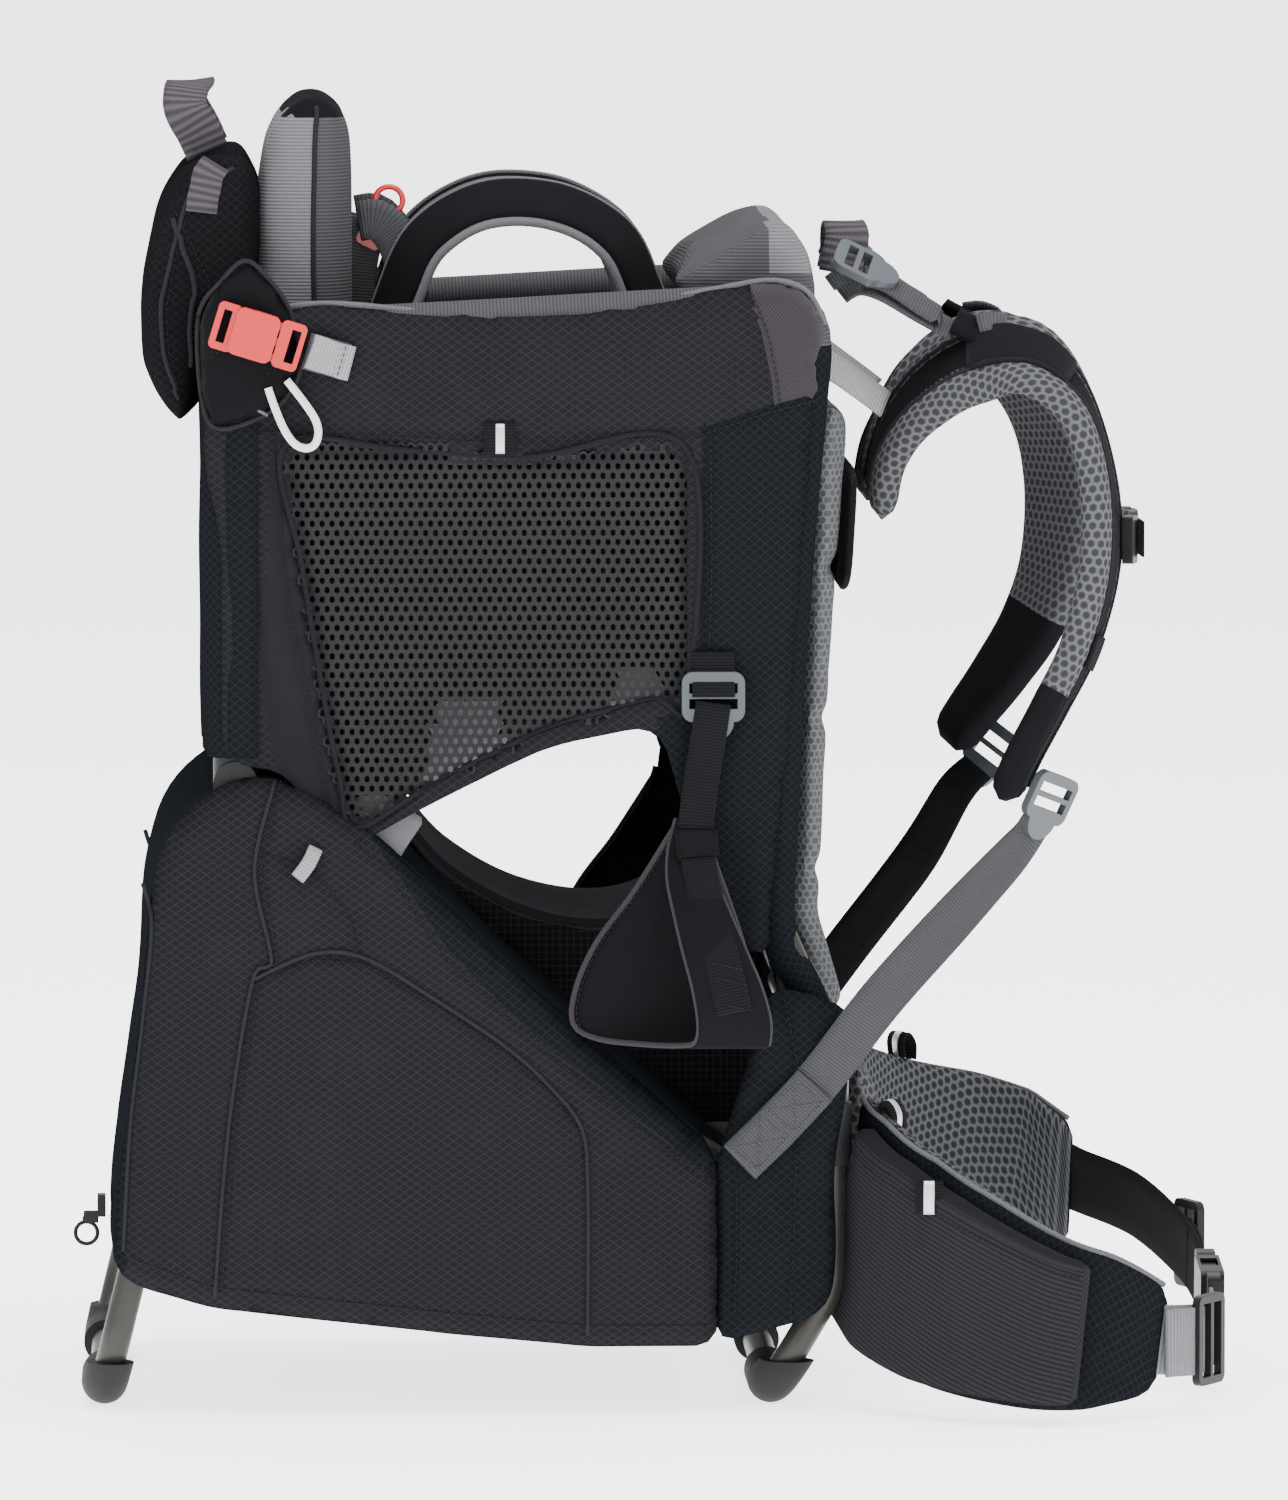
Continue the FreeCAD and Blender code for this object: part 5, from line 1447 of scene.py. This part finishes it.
def webbing_end(side, outer, flat, material):
    """The doubled end of the lower webbing, sewn to the flap with two crossed boxes."""
    name = SIDE_NAMES[side]
    end = [(86, side * (outer + 2.2), 179), (66, side * (outer + 2.3), 157.5),
           (45, side * (outer + 2.2), 137)]
    strap(f"webbing_end_{name}", end, flat, 25, material, 1.8)
    top, foot = np.array(end[0]), np.array(end[2])
    out = (0, side * 1.2, 0)
    box = []
    for share in ((0.08, 0.46), (0.54, 0.94)):
        a, b = (top + (foot - top) * t for t in share)
        corners = [p + flat * half + out for p,
                   half in ((a, 9.5), (b, 9.5), (b, -9.5), (a, -9.5), (a, 9.5))]
        box += [[p, q] for p, q in zip(corners[:-1], corners[1:])]
        box += [[corners[0], corners[2]], [corners[1], corners[3]]]
    # Pale stitches on the near side and dark ones on the far side: one thread painted as a lit and a shaded copy.
    sewing(f"webbing_stitching_{name}", box, material=STITCH_PALE if side < 0 else STITCH)


LIFTER_Y = 66.0


def load_lifter(side):
    """Webbing from the top of the back, through its lock, down to the top of the shoulder strap and back."""
    name = SIDE_NAMES[side]
    lean = (0.12, 0.85, -side * 0.5)

    def at(run, out=0.0):
        return [(x, side * (LIFTER_Y + out), z) for x, z in run]

    run = at([(104, 600), (114, 606), (126, 603), (145, 592), (165, 581)])
    obj = webbing(f"load_lifter_{name}", run, lean, 20, GREY_WEB, 1.8)
    bend(obj, ("carrier", "harness"), run[0], run[-1], "grey_webbing", "harness_webbing")
    strip_sheet(run)
    tail = webbing(f"lifter_tail_{name}", at([(116, 611), (128, 608), (146, 596), (158, 588),
                                              (152, 586)]), lean, 20, GREY_WEB, 1.8)
    bend(tail, ("carrier", "harness"), run[0], run[-1], "grey_webbing")
    keeper = at([(166, 587), (173, 583), (181, 579)])
    strap(f"lifter_keeper_{name}", keeper, lean, 23, SMOOTH_BLACK, 4.0, "harness", "strap_cloth")
    fold = at([(178, 585), (188, 586), (198, 582), (199, 577), (190, 577), (180, 580)])
    strap(f"lifter_fold_{name}", fold, lean, 18, GREY_WEB, 1.8, "harness", "grey_webbing")
    stay = [(84, side * 78, 566), (97, side * 74, 563), (112, side * 70, 553), (128, side * 66, 541)]
    obj = webbing(f"corner_strap_{name}", stay, (0, 0.6, 0.8), 20, PALE_WEB, 1.8)
    bend(obj, ("carrier", "harness"), (88, side * 76, 565), (126, side * 66, 543), "grey_webbing")


def sternum_strap():
    """Chest webbing from each slider to its half of the buckle."""
    right, left = (267.9, -77.0, 468.0), (261.4, 79.0, 468.0)
    female_end, male_end = (266.0, -32.8, 468.0), (264.0, 17.0, 468.0)
    obj = webbing("sternum_webbing_right", [right, (267.4, -55, 468), female_end], (0, 0, 1), 20,
                  BLACK_WEB, 1.6)
    put(obj, "sternum_strap", "black_webbing", "sternum_webbing")
    obj = webbing("sternum_webbing_left", [left, (262.4, 48, 468), male_end], (0, 0, 1), 20, BLACK_WEB, 1.6)
    bend(obj, ("sternum_strap", "sternum_buckle"), left, male_end, "black_webbing", "sternum_webbing")
    loop = [(262, 60, 468), (268.5, 54, 467), (268.5, 40, 466), (263.6, 36, 466)]
    slack = webbing("sternum_slack", loop, (0, 0.05, 1), 19, BLACK_WEB, 1.5)
    bend(slack, ("sternum_strap", "sternum_buckle"), left, male_end, "black_webbing")


def chest_strap():
    """Short webbing across the child's chest, each side of the buckle."""
    across = (0.3, 0, -1)
    obj = webbing("chest_webbing_right", [(-2, -43, 572), (-2.4, -37, 572), (-2, -31, 572)], across, 18,
                  BLACK_WEB, 1.6)
    put(obj, "carrier", "black_webbing", "chest_webbing")
    obj = webbing("chest_webbing_left", [(-2, 43, 572), (-2.6, 29, 572), (-2, 15.5, 572)], across, 18,
                  BLACK_WEB, 1.6)
    bend(obj, ("carrier", "chest_buckle"), (-2, 42, 572), (-2, 16, 572), "black_webbing", "chest_webbing")


# ---- foot slings ---------------------------------------------------------------------------------
# Stations round the sling: distance from the middle, height, and X of its rear and front edges.
SLING = [(158, 324, 11, 27), (160, 308, 7, 26), (172, 292, 6, 31), (190, 275, 9, 38), (203, 257, 13, 46),
         (206.5, 238, 18, 54), (206.5, 220, 21, 59), (202, 208, 20, 59), (190, 204.5, 12, 58),
         (178, 204, -8, 57), (168, 206, -32, 56), (164, 214, -45, 55), (163.5, 234, -43, 52),
         (163.5, 258, -32, 46), (162, 282, -14, 38), (160, 302, -1, 31), (158, 318, 9, 27)]


def sling(side):
    """Foot sling: a wide folded strip with bound edges, hung from a narrower strap."""
    name = SIDE_NAMES[side]
    body = f"stirrup_{name}"
    rings = []
    for y, z, rear, front in spline(SLING, 6.0):
        sag = 1.5 * noise.noise(Vector((y / 20, z / 20, 4.0)))
        rings.append([(rear + (front - rear) * t, side * (y + sag * math.sin(math.pi * t) * 0.5), z)
                      for t in np.linspace(0, 1, 12)])
    obj = loft(f"foot_sling_{name}", rings, [SMOOTH_BLACK], caps=False, closed=False)
    thicken(obj, 1.8)
    put(obj, body, "inner_cloth", f"stirrup_{name}")
    for label, at in (("rear", 2), ("front", 3)):
        edge = [(s[at], side * s[0], s[1]) for s in SLING]
        piping(f"sling_binding_{name}_{label}", edge, 1.5, PURPLE, body)
        inner = [(x + (2.6 if at == 2 else -2.6), y + side * 1.0, z) for x, y, z in spline(edge, 5.0)]
        sewing(f"sling_stitching_{name}_{label}", [inner], body)
    run = [(31, side * 155.5, 386), (28, side * 156.5, 366), (24.5, side * 158.5, 345),
           (21.5, side * 160.5, 322), (22, side * 165, 306), (26, side * 184, 282),
           (32, side * 203.5, 258), (37, side * 208.6, 238), (40, side * 208.8, 224)]
    across = [(1, 0, 0)] * 6 + [(1, 0, 0.15), (0.97, 0, 0.24), (0.97, 0, 0.24)]
    hanger = webbing(f"sling_strap_{name}", run, across, 19, BLACK_WEB, 1.8)
    put(hanger, body, "black_webbing", f"stirrup_{name}")
    strip_sheet(run)
    band = [(21.5, side * 162.4, 318), (21.5, side * 164.2, 311), (22.3, side * 167.6, 304)]
    strap(f"sling_keeper_{name}", band, (1, 0, 0), 23, SMOOTH_BLACK, 3.0, body, "strap_cloth")
    box = []
    for z in (249, 241, 233, 227):
        box.append([(29 + (249 - z) * 0.25, side * 210.3, z + 2),
                    (45 + (249 - z) * 0.25, side * 210.3, z - 2)])
    sewing(f"sling_sewing_{name}", box, body, pitch=2.2, length=1.6)


def stirrup_lock(side):
    """The webbing that is sewn above the stirrup's lock and holds it."""
    name = SIDE_NAMES[side]
    anchor = [(31, side * 150.2, 413), (31, side * 151.2, 402), (31, side * 155.6, 395),
              (31, side * 156.2, 389)]
    strap(f"lock_anchor_{name}", anchor, (1, 0, 0), 23, BLACK_WEB, 1.8, slot="black_webbing")
    row = [[(20, side * 150.9, 410), (42, side * 150.9, 410)], [(20, side * 150.9, 406),
                                                                (42, side * 150.9, 406)]]
    sewing(f"lock_stitching_{name}", row)


# ---- hip belt ------------------------------------------------------------------------------------
WINGS = { -1: [(116, 85, 62, 176), (119, 112, 46, 166), (135, 146, 26, 148), (165, 175, 12, 126),
               (205, 190, 5, 104), (245, 188, 5, 90), (272, 174, 14, 70)], 1: [(116, 85, 62, 180),
                                                                               (118, 112, 56, 174),
                                                                               (131, 144, 48, 164),
                                                                               (155, 174, 42, 154),
                                                                               (190, 190, 38, 146),
                                                                               (222, 186, 38, 136),
                                                                               (246, 168, 50, 120)], }
WING_T = 13.5
POCKET_T = 15.0


def wing_facts(side):
    """A wing's path, the direction across it, and its widths."""
    stations = WINGS[side]
    path = [(x, side * y, (low + high) / 2) for x, y, low, high in stations]
    return path, (0, 0, -side), [high - low for _, _, low, high in stations]


def hip_wing(side):
    """Padded wing: mesh inside, shell outside, bound and piped."""
    name = SIDE_NAMES[side]
    facts = wing_facts(side)
    obj = pad(f"hip_wing_{name}", *facts, WING_T, [SHELL_DARK, HEX_DARK, BAND],
              lambda u, outer, t: (2 if abs(u) > 0.97 else 0) if outer else 1, 6.0, 16.0, 0.22)
    put(obj, "carrier", "belt_cloth", f"hip_wing_{name}")
    top = surface_line(*facts, WING_T, -0.985 * side, 0.2, 1, 0.22)
    piping(f"wing_piping_{name}", top[1:-1], 1.6, RIM_PIPING, slot="belt_cloth", step=5.0)


def hip_pocket(side):
    """Zipped pocket on the outside of a wing, in horizontally ribbed cloth, with its reflective tab."""
    name = SIDE_NAMES[side]
    path, across, widths = wing_facts(side)
    _, _, normal = frames(path, across)
    path = np.array(path) + normal * ((WING_T + POCKET_T) / 2 + 0.9) - (0, 0, 1)
    path[5] = path[4] * 0.45 + path[5] * 0.55
    facts = (path[1:6], across, [w - 9 for w in widths[1:6]])
    obj = pad(f"hip_pocket_{name}", *facts, POCKET_T, [RIB_POCKET, BAND], hemmed(0.97), 5.0, 7.0, 0.2, 0.6)
    put(obj, "carrier", "belt_cloth", "hip_pockets")
    upper = -0.9 * side
    zip_line = surface_line(*facts, POCKET_T, upper, 0.6, 1, 0.2)
    seam = surface_line(*facts, POCKET_T, upper * 0.86, 0.2, 1, 0.2)
    piping(f"pocket_zip_cord_{name}", zip_line[1:-1], 1.2, sides=6)
    sewing(f"pocket_sewing_{name}", [seam[1:-1]])
    spot = zip_line[len(zip_line) * 42 // 100]
    away = unit((spot[0] - 160, spot[1], 0))
    tab = [spot + away * 1.0 + (0, 0, 9), spot + away * 2.2, spot + away * 1.6 - (0, 0, 9)]
    way = unit(np.cross(away, (0, 0, 1)))
    strap(f"pocket_tab_{name}", tab, way, 15, BLACK_WEB, 1.8, slot="black_webbing")
    shine = [p + away * 1.3 for p in tab]
    strap(f"pocket_shine_{name}", shine, way, 6, SILVER, 0.5)


def wing_loop(side):
    """Small reflective loop standing on the top edge of a wing."""
    name = SIDE_NAMES[side]
    x, y, z = (150, side * 166, 162) if side > 0 else (128, side * 130, 157)
    base = np.array((x, y, z - 4.0))
    way = unit((0.75, side * 0.55, -0.2))
    loop = [base + way * reach + (0, 0, up) for reach, up in ((-3, 0), (-4, 9), (0, 14), (5, 9), (5, 0))]
    across = unit(np.cross(way, (0, 0, 1)))
    strap(f"wing_loop_{name}", loop, across, 15, BLACK_WEB, 1.4, slot="black_webbing", step=2.0)
    lifted = [p + unit(p - base - (0, 0, 6)) * 0.9 for p in np.array(loop)]
    strap(f"wing_loop_stripe_{name}", lifted, across, 5, SILVER, 0.4, step=2.0)


BELT_RUNS = {
    -1: [(268, -177, 43), (277, -173.5, 42), (294, -152, 40), (303, -122, 40), (305.4, -90, 41)],
    1: [(307, -12, 48), (307.4, 35, 53), (301.3, 80, 62), (280, 130, 78), (252, 166, 87)],
}


def hip_webbing():
    """Webbing on both sides of the hip buckle, with its folded end and its slack."""
    near = webbing("hip_webbing_right", BELT_RUNS[-1], (0, 0, 1), 38, PALE_BELT, 2.2)
    put(near, "carrier", "grey_webbing", "hip_webbing")
    strip_sheet(BELT_RUNS[-1])
    fold = [(274, -181, 41), (283, -175.5, 41), (292, -164, 40), (297, -153, 40), (294.5, -156, 40)]
    strap("hip_webbing_fold", fold, (0, 0, 1), 37, PALE_BELT, 2.2)
    far = webbing("hip_webbing_left", [*BELT_RUNS[1], (238, 174, 92)], (0, -0.15, 1), 38, BLACK_WEB, 2.2)
    bend(far, ("hip_buckle", "carrier"), BELT_RUNS[1][0], BELT_RUNS[1][-1], "black_webbing", "hip_webbing")
    strip_sheet(BELT_RUNS[1])
    tail = [(309.2, 26, 51), (309.8, 44, 53), (308, 62, 57), (304.6, 76, 61), (304.8, 60, 57)]
    slack = webbing("hip_webbing_slack", tail, (0, -0.15, 1), 36, BLACK_WEB, 2.0)
    bend(slack, ("hip_buckle", "carrier"), BELT_RUNS[1][0], BELT_RUNS[1][-1], "black_webbing")


# ---- side buckles, cords and handles -------------------------------------------------------------
def side_clip_webbing(side):
    """Webbing from the cockpit's side to the red buckle, and its sewn anchor."""
    name = SIDE_NAMES[side]
    start, end = np.array((-187.5, side * 157.5, 576)), np.array((-166, side * 150.6, 569.5))
    points = [start, start * 0.5 + end * 0.5 + (0, side * 0.6, 0), end]
    obj = webbing(f"side_clip_webbing_{name}", points, (0.292, 0, 0.956), 20, GREY_WEB, 1.8)
    bend(obj, ("carrier", f"side_clip_{name}"), end, start, "grey_webbing", "side_clip_webbing")
    strip_sheet(points)
    folded = [start + (2, side * 1.4, 0), end + (-4, side * 2.0, 1), end + (3, side * 1.5, -1)]
    turned = webbing(f"clip_anchor_{name}", folded, (0.292, 0, 0.956), 19, PALE_WEB, 1.6)
    bend(turned, ("carrier", f"side_clip_{name}"), end, start, "grey_webbing")
    rows = [[end + (dx, side * 3.0, 8.5), end + (dx - 5.2, side * 3.0, -8.5)] for dx in (-3, 0)]
    sewing(f"clip_sewing_{name}", rows, material=STITCH_PALE)


CORD_ROUTE = [(-198, 560), (-189, 549), (-180, 535), (-183, 523), (-194, 524), (-203, 540), (-208, 556)]


def pull_cord(side):
    """White cord loop sewn under the side buckle: both ends go back into the seam."""
    name = SIDE_NAMES[side]
    curve = bpy.data.curves.new(f"pull_cord_{name}", "CURVE")
    curve.dimensions = "3D"
    curve.bevel_depth = 2.2 * MM
    curve.bevel_resolution = 3
    curve.use_fill_caps = True
    line = curve.splines.new("NURBS")
    line.points.add(len(CORD_ROUTE) - 1)
    for point, (x, z) in zip(line.points, CORD_ROUTE):
        point.co = (x * MM, side * 154.0 * MM, z * MM, 1)
    line.order_u = 3
    line.use_endpoint_u = True
    line.resolution_u = 12
    curve.materials.append(WHITE_CORD)
    obj = bpy.data.objects.new(f"pull_cord_{name}", curve)
    bpy.context.scene.collection.objects.link(obj)
    put(obj, "carrier", "white_cord", "pull_cords")


def grab_handles():
    """Loops of webbing that stand across the carrier, their broad faces to the sides."""
    loops = {"front": [(106, -11, 610), (108, -13, 620), (110, -12, 630), (109, -5, 636), (108, 5, 636),
                       (108, 12, 630), (108, 13, 620), (106, 11, 610)], "rear": [(-240, -44, 678),
                                                                                 (-245, -47, 689),
                                                                                 (-252, -46, 702),
                                                                                 (-251, -32, 712),
                                                                                 (-248, -10, 714),
                                                                                 (-248, 10, 714),
                                                                                 (-251, 32, 712),
                                                                                 (-252, 46, 702),
                                                                                 (-245, 47, 689),
                                                                                 (-240, 44, 678)]}
    for name, route in loops.items():
        across = [(1, 0.12 * math.sin(i * 1.9), 0.16 * math.cos(i * 1.3)) for i in range(len(route))]
        obj = webbing(f"grab_loop_{name}", route, across, 24, PURPLE_WEB, 2.8, 3.0)
        put(obj, "carrier", "black_webbing", "grab_handles")
        strip_sheet(route)


def seam_tabs(side):
    """The pale pull tab on the compartment and the grey gusset between it and the cockpit."""
    name = SIDE_NAMES[side]
    tab = [(-183, side * 164.0, 309), (-187, side * 168.0, 301), (-193, side * 167.5, 293)]
    strap(f"pale_tab_{name}", tab, (0.75, 0, -0.5), 8, PALE_WEB, 2.0)
    outline = [(-162, 334), (-146, 336), (-124, 322), (-143, 294)]
    obj = sew(f"corner_gusset_{name}", outline, lambda flat: upright(flat, side * 141.0), [GREY_LINING],
              5.0, thick=1.2, flip=side > 0)
    put(obj, "carrier", "pad_cloth")


def corner_piping(side):
    """Thin piping on the padded corner over the side buckle."""
    line = [(-231, side * 150.0, 560), (-222, side * 151.0, 549), (-208, side * 151.4, 541)]
    piping(f"corner_piping_{SIDE_NAMES[side]}", line, 1.0, RIM_PIPING, sides=6, step=3.0)


# ---- everything in place -------------------------------------------------------------------------
for side in (-1, 1):
    pull_cord(side)
    cockpit_side(side)
    cockpit_liner(side)
    frame_sleeve(side)
    corner_tab(side)
    corner_piping(side)
    reflective_tab(side)
    seat_wall(side)
    front_flap(side)
    halo(side)
    shoulder_strap(side)
    strap_webbing(side)
    load_lifter(side)
    sling(side)
    stirrup_lock(side)
    hip_wing(side)
    hip_pocket(side)
    wing_loop(side)
    side_clip_webbing(side)
    seam_tabs(side)
cockpit_rear()
seat()
for side in (-1, 1):
    bag_side(side)
bag_gusset()
headrest()
sunshade_pocket()
drool_pad()
back_pads()
sternum_strap()
chest_strap()
hip_webbing()
grab_handles()
